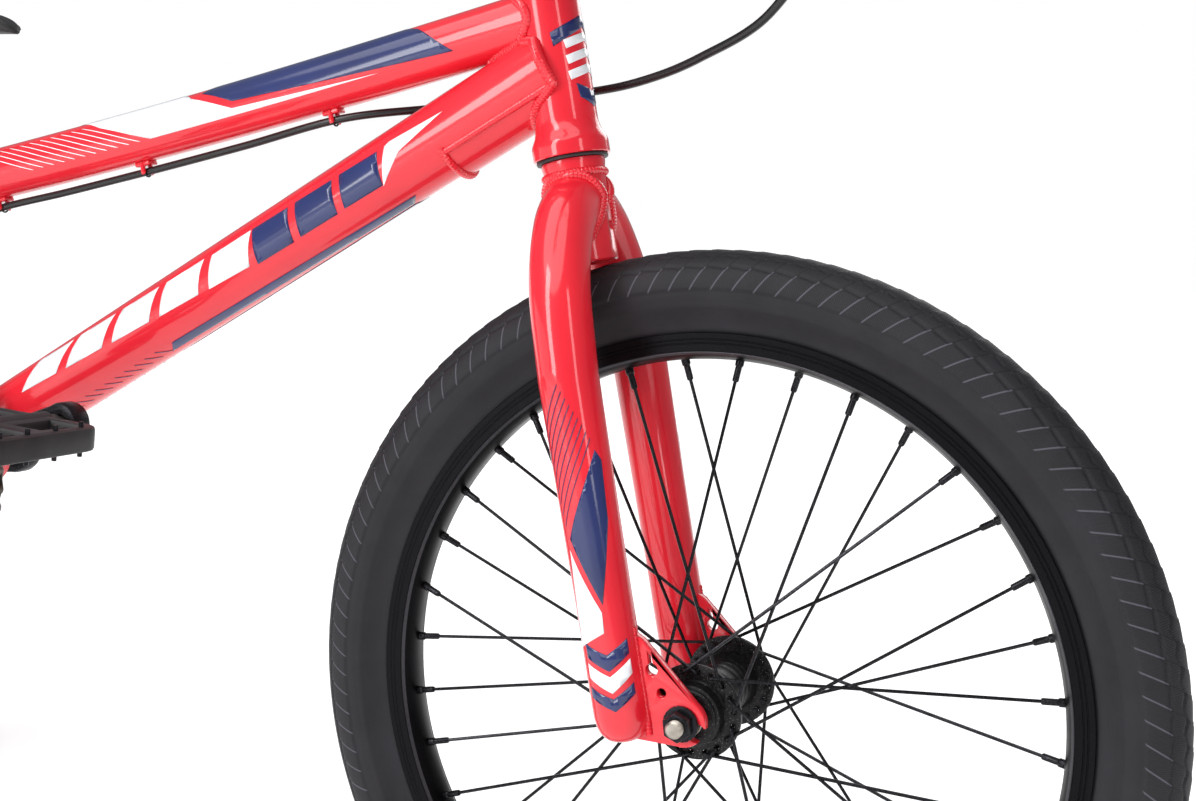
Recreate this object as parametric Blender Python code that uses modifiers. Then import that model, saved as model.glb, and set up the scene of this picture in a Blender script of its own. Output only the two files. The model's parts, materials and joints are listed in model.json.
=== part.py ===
"""A BMX race bicycle with 20 inch wheels, a straight-leg fork, a rear rim brake and platform pedals.

Metres. +X points forward, +Y to the rider's left and +Z up. The origin is on the ground, below the
middle of the wheelbase. Steered pieces are built round the steering axis, and each wheel, crank, pedal,
lever and brake arm is built round the axis it turns on.
"""

import math

import bmesh
import bpy
from mathutils import Matrix, Vector

# Fits
GAP = 0.0003  # left between two pieces that touch or are welded
FREE = 0.0020  # room beside a piece that moves past another

# Wheels
BEAD_RADIUS = 0.2030  # where the tyre sits on the rim
RIM_EDGE_RISE = 0.0060  # the rim's edge, outside the bead
RIM_BED_DROP = 0.0050  # the rim's well, inside the bead
RIM_DEPTH = 0.0093  # from the bead in to the spoke side
RIM_EDGE_RADIUS = BEAD_RADIUS + RIM_EDGE_RISE
RIM_BED_RADIUS = BEAD_RADIUS - RIM_BED_DROP
RIM_INNER_RADIUS = BEAD_RADIUS - RIM_DEPTH
RIM_WIDTH = 0.0270
RIM_WALL = 0.0017
TYRE_SECTION = 0.0228  # half the inflated width
TYRE_WALL = 0.0030
TYRE_RISE = 0.0064  # from the bead to the inflated circle
SPOKES = 36
SPOKE_RADIUS = 0.0010
SPOKE_CROSSES = 3
SPOKE_PHASE = -1.66  # degrees from straight up to the first spoke end
FLANGE_RADIUS = 0.0268
FLANGE_HALF_SPACING = 0.0329
FLANGE_THICKNESS = 0.0030
HUB_BARREL_RADIUS = 0.0165
DUST_CAP_RADIUS = 0.0175
AXLE_RADIUS = 0.0048
AXLE_STICK_OUT = 0.0136  # past the outer face of the dropout
NUT_HEX_RADIUS = AXLE_RADIUS + 0.0034
NUT_FLANGE_RADIUS = NUT_HEX_RADIUS + 0.0018
NUT_LENGTH = 0.0095
NUT_FLANGE_LENGTH = 0.0025
FRONT_HUB_WIDTH = 0.1000
REAR_HUB_WIDTH = 0.1100
DROPOUT_THICKNESS = 0.0060
CONE_ROOM = 0.0030  # between the hub shell's end and the dropout
VALVE_RADIUS = 0.0040
VALVE_LENGTH = 0.0340

# Frame
HEAD_ANGLE = math.radians(74)
SEAT_ANGLE = math.radians(71)
FRONT_CENTRE = 0.5880  # from bottom bracket to front axle, level
REAR_CENTRE = 0.3670  # from rear axle to bottom bracket, level
BRACKET_RISE = 0.0450  # bottom bracket above the axles
HEAD_TUBE_LENGTH = 0.1150
STEERER_RADIUS = 0.0143
STEERER_WALL = 0.0020
BEARING_SECTION = 0.0059  # across the bearing's ring
BEARING_HEIGHT = 0.0065
BEARING_RADIUS = STEERER_RADIUS + GAP + BEARING_SECTION
HEAD_BORE_RADIUS = STEERER_RADIUS + 0.0022
HEAD_WAIST_RADIUS = HEAD_BORE_RADIUS + 0.0020
HEAD_RING_RADIUS = BEARING_RADIUS + GAP + 0.0017
HEAD_RING_HEIGHT = 0.0085
HEAD_FLARE = 0.0110
TOP_TUBE_RADIUS = 0.0172
TOP_TUBE_WALL = 0.0018
TOP_TUBE_AT_HEAD = 0.0830  # up the head tube from its lower end
TOP_TUBE_AT_SEAT = 0.1910  # up the seat tube from the bottom bracket
TOP_TUBE_DIP = 0.0040
DOWN_TUBE_RADIUS = 0.0235
DOWN_TUBE_WALL = 0.0020
DOWN_TUBE_AT_HEAD = 0.0530
DOWN_TUBE_SETBACK = 0.0110  # from the bottom bracket's axis to the tube's end
GUSSET_LENGTH = 0.0800  # along the down tube from the steering axis
GUSSET_RADIUS = DOWN_TUBE_RADIUS - 0.0020
GUSSET_DROP = 0.0045  # below the down tube's centre line
SEAT_TUBE_LENGTH = 0.2260
SEAT_POST_RADIUS = 0.0136
SEAT_TUBE_WALL = 0.0026
SEAT_TUBE_RADIUS = SEAT_POST_RADIUS + GAP + SEAT_TUBE_WALL
SHELL_BORE_RADIUS = 0.0205
SHELL_RADIUS = SHELL_BORE_RADIUS + 0.0023
SHELL_WIDTH = 0.0730
SPINDLE_RADIUS = 0.0095
STAY_RADIUS = 0.0085
SEATSTAY_RADIUS = 0.0081
STAY_WALL = 0.0015
CHAINSTAY_SPREAD = 0.0350  # from the centre plane beside the tyre
SEATSTAY_SPREAD = 0.0400
GUIDE_SHARES = (0.19, 0.43, 0.71)  # where the cable guides sit along the top tube, from the seat tube
GUIDE_STAND_OFF = 0.0034  # below the tube's surface

# Fork
FORK_RAKE = 0.0338
CROWN_DROP = 0.0635  # from the tyre's top to the lower end of the head tube
FORK_LEG_SPREAD = 0.0550
FORK_LEG_TOP_RADIUS = 0.0172
FORK_LEG_RADIUS = 0.0158
FORK_LEG_WALL = 0.0016
FORK_LEG_OVERRUN = 0.0080  # how far the legs reach below the axle
NECK_RADIUS = STEERER_RADIUS + 0.0032
NECK_LENGTH = 0.0620  # below the head tube, down between the legs
NECK_HOLE_RADIUS = 0.0032
NECK_HOLE_RISE = 0.0200  # above the neck's lower end
SEAL_RADIUS = BEARING_RADIUS
SEAL_HEIGHT = 0.0016
FORK_PLATE_RADIUS = 0.0135  # round the axle

# Cockpit
COVER_HEIGHT = 0.0060
SPACER_HEIGHT = 0.0050
STEM_HEIGHT = 0.0420
STEM_REACH = 0.0500
STEM_WIDTH = 0.0480
STEM_WALL = 0.0060
BAR_RADIUS = 0.0111
BAR_WALL = 0.0016
BAR_HALF_WIDTH = 0.3550
BAR_RISE = 0.2000
BAR_CENTRE_HALF = 0.0550
BAR_SHOULDER = 0.1600  # from the centre plane to where the grip stretch starts
BAR_BACKSWEEP = math.radians(9)
CROSSBAR_RISE = 0.1350
CROSSBAR_RADIUS = 0.0080
GRIP_LENGTH = 0.1350
GRIP_RADIUS = BAR_RADIUS + GAP + 0.0041
LEVER_TURN = math.radians(35)  # how far the lever points below straight ahead
LEVER_OFFSET = 0.0300  # from the bar's axis to the lever's pivot
LEVER_LENGTH = 0.0950
LEVER_THICKNESS = 0.0060
LEVER_PIN_RADIUS = 0.0025
LEVER_BOSS_RADIUS = 0.0065
LEVER_BRACKET_WIDTH = 0.0140
BARREL_OFFSET = 0.0210  # from the bar's axis to the cable's barrel
BARREL_REACH = 0.0280

# Drive
CHAIN_PITCH = 0.0127
CHAINRING_TEETH = 44
COG_TEETH = 16
TOOTH_HEIGHT = 0.0036
CHAIN_LINE = 0.0450
RING_THICKNESS = 0.0030
TOOTH_CLEAR = 0.0008
CHAIN_PLATE = 0.0085  # height of a link
CHAIN_WIDTH = 0.0080
CRANK_LENGTH = 0.1750
CRANK_ANGLE = math.radians(19)  # right crank above straight ahead
CRANK_THICKNESS = 0.0150
CRANK_BOSS_RADIUS = 0.0185
CRANK_END_RADIUS = 0.0140
CRANK_FACE = 0.0580  # inner face of a crank from the centre plane
PEDAL_LENGTH = 0.0950
PEDAL_WIDTH = 0.0900
PEDAL_THICKNESS = 0.0150
PEDAL_OFFSET = 0.0140  # from crank face to pedal body
PEDAL_SPINDLE_RADIUS = 0.0055
PEDAL_BOSS_RADIUS = PEDAL_SPINDLE_RADIUS + 0.0040

# Seat
SEAT_POST_EXPOSED = 0.0560
SEAT_POST_INSERT = 0.0800
SADDLE_LENGTH = 0.2450
SADDLE_WIDTH = 0.1250
SADDLE_THICKNESS = 0.0260
RAIL_RADIUS = 0.0035
RAIL_SPREAD = 0.0220

# Brake
HOUSING_RADIUS = 0.0025
# The housing's route between the lever and the top tube's front guide, and from its rear guide to the brake.
HOUSING_LOOP = (
    (0.3750, -0.1150, 0.8720), (0.4560, -0.0750, 0.8200), (0.5020, -0.0460, 0.7430),
    (0.4960, -0.0290, 0.6780), (0.4690, -0.0100, 0.6370), (0.4250, 0.0100, 0.6140),
    (0.3880, 0.0230, 0.6010), (0.3530, 0.0290, 0.5930), (0.3100, 0.0310, 0.5870),
    (0.2560, 0.0180, 0.5760))
HOUSING_TAIL = (
    (-0.1150, 0.0180, 0.4690), (-0.1640, 0.0300, 0.4560), (-0.2050, 0.0440, 0.4530),
    (-0.2320, 0.0480, 0.4470))
PAD_GAP = 0.0028
BRAKE_ARM_LENGTH = 0.1050
BRAKE_PAD_HEIGHT = 0.0250  # from the arm's pivot to the pad
BRAKE_ARM_THICKNESS = 0.0080
BRAKE_BOSS_RADIUS = 0.0040
BRAKE_STAND_OFF = 0.0140  # from the stay's centre line to the arm

ROUND = 16  # sides of the larger tubes
WHEEL_STEPS = 28

TYRE_RADIUS = BEAD_RADIUS + TYRE_RISE + 2 * TYRE_SECTION
WHEELBASE = FRONT_CENTRE + REAR_CENTRE
FRONT_AXLE = Vector((WHEELBASE / 2, 0, TYRE_RADIUS))
REAR_AXLE = Vector((-WHEELBASE / 2, 0, TYRE_RADIUS))
BRACKET = REAR_AXLE + Vector((REAR_CENTRE, 0, BRACKET_RISE))
TYRE_CENTRE_RADIUS = TYRE_RADIUS - TYRE_SECTION

# The steering frame: its origin is the foot of the perpendicular from the front axle to the steering axis.
STEER_UP = Vector((-math.cos(HEAD_ANGLE), 0, math.sin(HEAD_ANGLE)))
STEER_FORWARD = Vector((math.sin(HEAD_ANGLE), 0, math.cos(HEAD_ANGLE)))
STEER_ORIGIN = FRONT_AXLE - FORK_RAKE * STEER_FORWARD
STEERING = Matrix.Translation(STEER_ORIGIN) @ Matrix.Rotation(HEAD_ANGLE - math.pi / 2, 4, "Y")
HEAD_LOW = TYRE_RADIUS + CROWN_DROP  # along the steering axis
HEAD_HIGH = HEAD_LOW + HEAD_TUBE_LENGTH
STEM_LOW = HEAD_HIGH + COVER_HEIGHT + SPACER_HEIGHT + 3 * GAP
STEM_MIDDLE = STEM_LOW + STEM_HEIGHT / 2
STEERER_TOP = STEM_LOW + STEM_HEIGHT

SEAT_UP = Vector((-math.cos(SEAT_ANGLE), 0, math.sin(SEAT_ANGLE)))
TOP_TUBE_FRONT = STEER_ORIGIN + (HEAD_LOW + TOP_TUBE_AT_HEAD) * STEER_UP
TOP_TUBE_BACK = BRACKET + TOP_TUBE_AT_SEAT * SEAT_UP
DOWN_TUBE_FRONT = STEER_ORIGIN + (HEAD_LOW + DOWN_TUBE_AT_HEAD) * STEER_UP

SIDEWAYS = Matrix.Rotation(-math.pi / 2, 4, "X")  # stands a turned piece's axis along +Y

PARTS = bpy.data.collections.new("bmx_bike")
HELPERS = bpy.data.collections.new("cutters")


# Tools

def clear_scene():
    for obj in list(bpy.data.objects):
        bpy.data.objects.remove(obj)
    for group in (PARTS, HELPERS):
        bpy.context.scene.collection.children.link(group)


def linear(hex_colour):
    """The linear colour of an sRGB hex value."""
    values = [int(hex_colour[i : i + 2], 16) / 255 for i in (0, 2, 4)]
    return [v / 12.92 if v <= 0.04045 else ((v + 0.055) / 1.055) ** 2.4 for v in values] + [1.0]


def look(name, hex_colour, metallic=0.0, roughness=0.5):
    material = bpy.data.materials.new(name)
    material.use_nodes = True
    shader = material.node_tree.nodes["Principled BSDF"]
    shader.inputs["Base Color"].default_value = linear(hex_colour)
    shader.inputs["Metallic"].default_value = metallic
    shader.inputs["Roughness"].default_value = roughness
    return material


def place(name, data, material=None, parent=None, matrix=None, helper=False):
    """Links an object; a helper only cuts or joins, and isn't part of the bicycle."""
    obj = bpy.data.objects.new(name, data)
    (HELPERS if helper else PARTS).objects.link(obj)
    obj.parent = parent
    obj.matrix_local = matrix or Matrix()
    if material:
        data.materials.append(material)
    if helper:
        obj.hide_render = True
        obj.display_type = "WIRE"
    return obj


def axis_empty(name, matrix, parent=None):
    """An empty that a moving piece hangs from. Its local Z is the axis, unless its maker says otherwise."""
    return place(name, None, parent=parent, matrix=matrix)


def smooth(obj):
    obj.data.shade_smooth()
    obj.data.set_sharp_from_angle(angle=math.radians(35))
    return obj


def frame_on(origin, z_axis, x_hint=Vector((0, 1, 0))):
    """A matrix at origin whose Z is z_axis and whose X lies as near as it can to x_hint."""
    z = Vector(z_axis).normalized()
    x = (Vector(x_hint) - Vector(x_hint).dot(z) * z).normalized()
    y = z.cross(x)
    turn = Matrix((x, y, z)).transposed().to_4x4()
    return Matrix.Translation(origin) @ turn


def turned(name, profile, material=None, parent=None, matrix=None, steps=ROUND, helper=False):
    """A piece turned about local Z. profile runs down the outer side; started on the axis, it is solid."""
    mesh = bpy.data.meshes.new(name)
    bm = bmesh.new()
    points = [bm.verts.new((radius, 0, height)) for radius, height in profile]
    ring = profile[0][0] > 0
    for first, second in zip(points, points[1:] + points[:1] if ring else points[1:]):
        bm.edges.new((first, second))
    bm.to_mesh(mesh)
    bm.free()
    obj = place(name, mesh, material, parent, matrix, helper)
    screw = obj.modifiers.new("Turn", "SCREW")
    screw.axis = "Z"
    screw.steps = screw.render_steps = steps
    screw.use_merge_vertices = True
    screw.merge_threshold = 0.00001
    screw.use_smooth_shade = False
    return obj


def rod(name, radius, low, high, material=None, parent=None, matrix=None, steps=12, helper=False):
    """A plain round bar from local z = low to high."""
    profile = [(0, high), (radius, high), (radius, low), (0, low)]
    return turned(name, profile, material, parent, matrix, steps, helper)


def collar(name, outer, inner, low, high, material=None, parent=None, matrix=None, steps=ROUND):
    """A plain ring with a bore, from local z = low to high."""
    profile = [(outer, high), (outer, low), (inner, low), (inner, high)]
    return turned(name, profile, material, parent, matrix, steps)


def spline_through(points, steps):
    """Points along a smooth curve through the given ones, with `steps` stretches between each pair."""
    points = [Vector(p) for p in points]
    ends = [2 * points[0] - points[1]] + points + [2 * points[-1] - points[-2]]
    path = []
    for before, start, end, after in zip(ends, ends[1:], ends[2:], ends[3:]):
        for step in range(steps):
            t = step / steps
            path.append(
                0.5 * (2 * start + (end - before) * t + (2 * before - 5 * start + 4 * end - after) * t**2
                       + (3 * start - before - 3 * end + after) * t**3)
            )
    return path + [points[-1]]


def made_mesh(obj, helper):
    """Turns a curve object into a mesh one, its caps welded on."""
    bpy.context.view_layer.update()
    mesh = bpy.data.meshes.new_from_object(obj.evaluated_get(bpy.context.evaluated_depsgraph_get()))
    bm = bmesh.new()
    bm.from_mesh(mesh)
    bmesh.ops.remove_doubles(bm, verts=bm.verts, dist=0.000002)
    bm.to_mesh(mesh)
    bm.free()
    name, parent, matrix, curve = obj.name, obj.parent, obj.matrix_local.copy(), obj.data
    bpy.data.objects.remove(obj)
    bpy.data.curves.remove(curve)
    mesh.name = name
    return place(name, mesh, None, parent, matrix, helper)


def tube(name, points, radii, material=None, parent=None, matrix=None, sides=12, wall=0.0, helper=False):
    """A round bar along points, or an open tube if it has a wall. radii is one radius, or one a point."""
    radii = radii if isinstance(radii, (list, tuple)) else [radii] * len(points)
    curve = bpy.data.curves.new(name, "CURVE")
    curve.dimensions = "3D"
    curve.bevel_depth = 1.0
    curve.bevel_resolution = sides // 2 - 2
    curve.use_fill_caps = wall == 0
    spline = curve.splines.new("POLY")
    spline.points.add(len(points) - 1)
    for point, co, radius in zip(spline.points, points, radii):
        point.co = (*co, 1)
        point.radius = radius
    if material:
        curve.materials.append(material)
    obj = made_mesh(place(name, curve, None, parent, matrix, helper), helper)
    if wall:
        shell = obj.modifiers.new("Wall", "SOLIDIFY")
        shell.thickness = wall
        shell.offset = -1
        shell.use_even_offset = True
    return obj


def arc(centre, radius, start, end, steps):
    """Points on an arc in the plane, angles in degrees."""
    angles = [math.radians(start + (end - start) * i / steps) for i in range(steps + 1)]
    return [(centre[0] + radius * math.cos(a), centre[1] + radius * math.sin(a)) for a in angles]


def plate(name, outline, thickness, material=None, parent=None, matrix=None, holes=(), helper=False):
    """A flat piece in the local XY plane, centred on z = 0, with holes through it."""
    curve = bpy.data.curves.new(name, "CURVE")
    curve.dimensions = "2D"
    curve.fill_mode = "BOTH"
    curve.extrude = thickness / 2
    for loop in [outline, *holes]:
        spline = curve.splines.new("POLY")
        spline.points.add(len(loop) - 1)
        for point, (x, y) in zip(spline.points, loop):
            point.co = (x, y, 0, 1)
        spline.use_cyclic_u = True
    if material:
        curve.materials.append(material)
    return made_mesh(place(name, curve, None, parent, matrix, helper), helper)


def block(name, size, material=None, parent=None, matrix=None, bevel=0.0, helper=False):
    """A box centred on its origin, with rounded edges if bevel is set."""
    mesh = bpy.data.meshes.new(name)
    bm = bmesh.new()
    bmesh.ops.create_cube(bm, size=1.0, matrix=Matrix.Diagonal((*size, 1)))
    bm.to_mesh(mesh)
    bm.free()
    obj = place(name, mesh, material, parent, matrix, helper)
    if bevel:
        rounding = obj.modifiers.new("Rounded edges", "BEVEL")
        rounding.width = bevel
        rounding.segments = 2
    return obj


def combine(obj, operation, *others):
    for other in others:
        step = obj.modifiers.new(operation.title() + " " + other.name, "BOOLEAN")
        step.operation = operation
        step.object = other
    return obj


def join(obj, *others):
    return combine(obj, "UNION", *others)


def cut(obj, *others):
    return combine(obj, "DIFFERENCE", *others)


def as_helper(obj):
    """Takes a finished piece off the bicycle, to cut or join another with."""
    PARTS.objects.unlink(obj)
    HELPERS.objects.link(obj)
    obj.hide_render = True
    obj.display_type = "WIRE"
    return obj


# Finishes

PAINT = look("red_paint", "F2443F", roughness=0.25)
BLACK_METAL = look("black_anodised", "17171A", metallic=0.8, roughness=0.4)
STEEL = look("steel", "8A8D90", metallic=1.0, roughness=0.35)
RUBBER = look("tyre_rubber", "1B1B1D", roughness=0.85)
GRIP_RUBBER = look("grip_rubber", "151516", roughness=0.8)
BLACK_PLASTIC = look("black_plastic", "141415", roughness=0.55)
HOUSING_PLASTIC = look("cable_housing", "101012", roughness=0.35)
SADDLE_COVER = look("saddle_cover", "1A1A1C", roughness=0.6)


# Wheels

def hub_profile(half_width):
    """Half of the hub shell from its right end, mirrored to the left, with a bore that clears the axle."""
    flange_in = FLANGE_HALF_SPACING - FLANGE_THICKNESS / 2
    flange_out = FLANGE_HALF_SPACING + FLANGE_THICKNESS / 2
    half = [
        (DUST_CAP_RADIUS - 0.0015, half_width),
        (DUST_CAP_RADIUS, half_width - 0.0015),
        (DUST_CAP_RADIUS, flange_out),
        (FLANGE_RADIUS, flange_out),
        (FLANGE_RADIUS, flange_in),
        (HUB_BARREL_RADIUS, flange_in - 0.0050),
    ]
    bore = AXLE_RADIUS + GAP
    return half + [(r, -z) for r, z in reversed(half)] + [(bore, -half_width), (bore, half_width)]


def rim_profile():
    half = RIM_WIDTH / 2
    outer = [(RIM_EDGE_RADIUS, half), (RIM_EDGE_RADIUS, half - RIM_WALL), (RIM_BED_RADIUS, half - RIM_WALL)]
    inner = [(RIM_INNER_RADIUS + 0.0045, half), (RIM_INNER_RADIUS, half - 0.0075)]
    side = [(r, -z) for r, z in reversed(outer)]
    return outer + side + [(r, -z) for r, z in inner] + list(reversed(inner))


def tyre_profile():
    """A C-shaped casing that is open towards the rim, its two edges inside the rim's walls."""
    edge = RIM_WIDTH / 2 - RIM_WALL - GAP
    inside = TYRE_SECTION - TYRE_WALL
    opening = 125
    outer = [(TYRE_CENTRE_RADIUS + TYRE_SECTION * math.cos(a), TYRE_SECTION * math.sin(a))
             for a in [math.radians(opening * (1 - i / 4)) for i in range(9)]]
    inner = [(TYRE_CENTRE_RADIUS + inside * math.cos(a), inside * math.sin(a))
             for a in [math.radians(opening * (i * 0.8 - 0.8)) for i in range(3)]]
    left = [(BEAD_RADIUS, edge - TYRE_WALL), (BEAD_RADIUS, edge), (RIM_EDGE_RADIUS + 2 * GAP, edge)]
    return left + outer + [(r, -z) for r, z in reversed(left)] + inner


def spoke_ends(side, index):
    """Hub and rim ends of one spoke on one side of the wheel, in the wheel's own frame."""
    step = 2 * math.pi / SPOKES
    rim_angle = math.radians(SPOKE_PHASE) + step * (2 * index + (side > 0))
    lean = SPOKE_CROSSES * 2 * step * (1 if index % 2 else -1)
    hub_angle = rim_angle + lean
    hub_radius = FLANGE_RADIUS - 0.0040
    hub_height = side * (FLANGE_HALF_SPACING + FLANGE_THICKNESS / 2 + SPOKE_RADIUS + 0.0020)
    hub_end = Vector((hub_radius * math.cos(hub_angle), hub_radius * math.sin(hub_angle), hub_height))
    rim_radius = RIM_INNER_RADIUS * math.cos(math.pi / WHEEL_STEPS) - 3 * GAP
    rim_end = Vector((rim_radius * math.cos(rim_angle), rim_radius * math.sin(rim_angle), side * 0.0015))
    # Leading spokes lie over trailing ones.
    layer = Vector((0, 0, SPOKE_RADIUS / 3 * (1 if index % 2 else -1)))
    return hub_end + layer, rim_end + layer


def spoke_bar(name, ends, material, parent, helper):
    """One wire between two points, with three sides."""
    start, end = ends
    matrix = frame_on(start, end - start, Vector((0, 0, 1)))
    return rod(name, SPOKE_RADIUS, 0, (end - start).length, material, parent, matrix, 3, helper)


def spoke_set(name, side, parent):
    """Every spoke on one side. They cross in one cone, and so are one body."""
    spokes = SPOKES // 2
    bars = [spoke_bar(name if i == 0 else f"{name}_{i}", spoke_ends(side, i), BLACK_METAL, parent, i > 0)
            for i in range(spokes)]
    return join(bars[0], *bars[1:])


def make_wheel(prefix, axle, hub_width):
    """Hub, spokes, rim, tyre and valve on an empty whose local Z is the axle, pointing left."""
    upright = Matrix.Translation(axle) @ SIDEWAYS @ Matrix.Rotation(-math.pi / 2, 4, "Z")
    wheel = axis_empty(prefix + "_wheel_axis", upright)
    half_width = hub_width / 2 - CONE_ROOM
    smooth_hub = turned(prefix + "_hub", hub_profile(half_width), BLACK_METAL, wheel, steps=ROUND)
    smooth(smooth_hub)
    spoke_set(prefix + "_spokes_left", 1, wheel)
    spoke_set(prefix + "_spokes_right", -1, wheel)
    rim = turned(prefix + "_rim", rim_profile(), BLACK_METAL, wheel, steps=WHEEL_STEPS)
    turned(prefix + "_tyre", tyre_profile(), RUBBER, wheel, steps=WHEEL_STEPS)
    valve_angle = SPOKE_PHASE + 360 / SPOKES / 2 + 180
    outwards = Matrix.Rotation(math.radians(valve_angle), 4, "Z") @ Matrix.Rotation(math.pi / 2, 4, "Y")
    inner_end = RIM_BED_RADIUS + 0.0040 - VALVE_LENGTH
    rod(prefix + "_valve", VALVE_RADIUS, inner_end, inner_end + VALVE_LENGTH, BLACK_METAL, wheel, outwards, 8)
    hole = rod(prefix + "_valve_hole", VALVE_RADIUS + GAP, inner_end, inner_end + 2 * VALVE_LENGTH,
               None, wheel, outwards, 8, True)
    cut(rim, hole)
    return wheel


def make_axle(prefix, axle, hub_width):
    """The solid axle and a flanged nut at each end."""
    face = hub_width / 2 + DROPOUT_THICKNESS
    end = face + AXLE_STICK_OUT
    along = Matrix.Translation(axle) @ SIDEWAYS
    rod(prefix + "_axle", AXLE_RADIUS, -end, end, STEEL, None, along, 12)
    low = face + GAP
    for turn, label in ((0, "left"), (math.pi, "right")):
        out = along @ Matrix.Rotation(turn, 4, "X")
        name = f"{prefix}_axle_nut_{label}"
        nut = rod(name, NUT_FLANGE_RADIUS, low, low + NUT_FLANGE_LENGTH, BLACK_METAL, None, out, 16)
        foot = low + NUT_FLANGE_LENGTH / 2
        hexagon = rod(name + "_hexagon", NUT_HEX_RADIUS, foot, low + NUT_LENGTH, None, None, out, 6, True)
        bore = rod(name + "_bore", AXLE_RADIUS + GAP, 0, 2 * end, None, None, out, 12, True)
        cut(join(nut, hexagon), bore)


# Frame

def head_outline(grow):
    """The head tube's outer side, top to bottom, along the steering axis."""
    ring, waist = HEAD_RING_RADIUS + grow, HEAD_WAIST_RADIUS + grow
    low_waist = HEAD_LOW + HEAD_RING_HEIGHT + HEAD_FLARE
    high_waist = HEAD_HIGH - HEAD_RING_HEIGHT - HEAD_FLARE / 2
    return [(ring, HEAD_HIGH), (ring, HEAD_HIGH - HEAD_RING_HEIGHT), (waist, high_waist),
            (waist, low_waist), (ring, HEAD_LOW + HEAD_RING_HEIGHT), (ring, HEAD_LOW)]


def make_head_tube():
    """The head tube with its two bearing seats, and the filled shape that cuts the tubes to meet it."""
    seat = BEARING_RADIUS + GAP
    low_seat, high_seat = HEAD_LOW + BEARING_HEIGHT, HEAD_HIGH - BEARING_HEIGHT
    bore = [(seat, HEAD_LOW), (seat, low_seat), (HEAD_BORE_RADIUS, low_seat),
            (HEAD_BORE_RADIUS, high_seat), (seat, high_seat), (seat, HEAD_HIGH)]
    smooth(turned("head_tube", head_outline(0) + bore, PAINT, None, STEERING, 24))
    ring = STEERER_RADIUS + GAP
    for name, low in (("lower", HEAD_LOW + GAP), ("upper", HEAD_HIGH - BEARING_HEIGHT + GAP)):
        collar(f"headset_{name}_bearing", BEARING_RADIUS, ring, low, low + BEARING_HEIGHT - 2 * GAP,
               STEEL, None, STEERING, 24)
    filled = [(0, HEAD_HIGH)] + head_outline(GAP) + [(0, HEAD_LOW)]
    return turned("head_tube_shape", filled, None, None, STEERING, 24, True)


def top_tube_line(share):
    """A point on the top tube's centre line, which dips a little in the middle."""
    straight = TOP_TUBE_BACK.lerp(TOP_TUBE_FRONT, share)
    return straight - Vector((0, 0, TOP_TUBE_DIP * math.sin(math.pi * share)))


def top_tube_frame(share):
    """A point on the top tube's centre line, with its direction there and the one square to its underside."""
    at = top_tube_line(share)
    along = (top_tube_line(share + 0.01) - at).normalized()
    return at, along, Vector((along.z, 0, -along.x))


def make_front_triangle(head_shape):
    """Seat tube, bracket shell, down tube and top tube, each cut back from the one it's welded to."""
    shell_at = Matrix.Translation(BRACKET) @ SIDEWAYS
    half = SHELL_WIDTH / 2
    collar("bottom_bracket_shell", SHELL_RADIUS, SHELL_BORE_RADIUS, -half, half, PAINT, None, shell_at, 24)
    shell_shape = rod("shell_shape", SHELL_RADIUS + GAP, -2 * half, 2 * half, None, None, shell_at, 24, True)
    seat_at = frame_on(BRACKET, SEAT_UP)
    bore = SEAT_POST_RADIUS + GAP
    seat_tube = collar("seat_tube", SEAT_TUBE_RADIUS, bore, 0, SEAT_TUBE_LENGTH, PAINT, None, seat_at)
    cut(seat_tube, shell_shape)
    outer = SEAT_TUBE_RADIUS + GAP
    seat_shape = rod("seat_tube_shape", outer, 0, SEAT_TUBE_LENGTH, None, None, seat_at, ROUND, True)
    back = (BRACKET - DOWN_TUBE_FRONT).normalized()
    down_start = BRACKET - back * DOWN_TUBE_SETBACK
    down_line = [down_start, DOWN_TUBE_FRONT]
    down_tube = tube("down_tube", down_line, DOWN_TUBE_RADIUS, PAINT, sides=24)
    down_shape = tube("down_tube_shape", down_line, DOWN_TUBE_RADIUS + GAP, sides=24, helper=True)
    bore_line = [down_start + back * FREE, DOWN_TUBE_FRONT - back * FREE]
    down_bore = tube("down_tube_bore", bore_line, DOWN_TUBE_RADIUS - DOWN_TUBE_WALL, sides=24, helper=True)
    drop = Vector((-back.z, 0, back.x)) * GUSSET_DROP
    gusset_start = DOWN_TUBE_FRONT + drop * 1.1 - back * FREE / 2
    gusset_line = [gusset_start, DOWN_TUBE_FRONT + drop + back * GUSSET_LENGTH]
    gusset = tube("down_tube_gusset", gusset_line, GUSSET_RADIUS, sides=20, helper=True)
    cut(join(down_tube, gusset), shell_shape, seat_shape, head_shape, down_bore)
    line = [top_tube_line(i / 3) for i in range(4)]
    top_tube = tube("top_tube", line, TOP_TUBE_RADIUS, PAINT, sides=ROUND, wall=TOP_TUBE_WALL)
    for i, share in enumerate(GUIDE_SHARES):
        at, along, down = top_tube_frame(share)
        middle = TOP_TUBE_RADIUS - TOP_TUBE_WALL / 2 + GUIDE_STAND_OFF / 2
        matrix = frame_on(at + down * middle, down, along)
        size = (0.0080, 0.0060, TOP_TUBE_WALL + GUIDE_STAND_OFF)
        join(top_tube, block(f"cable_guide_{i}", size, None, None, matrix, helper=True))
    cut(top_tube, seat_shape, head_shape, down_shape)
    make_seat_clamp(seat_at)
    return seat_shape, shell_shape


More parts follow.
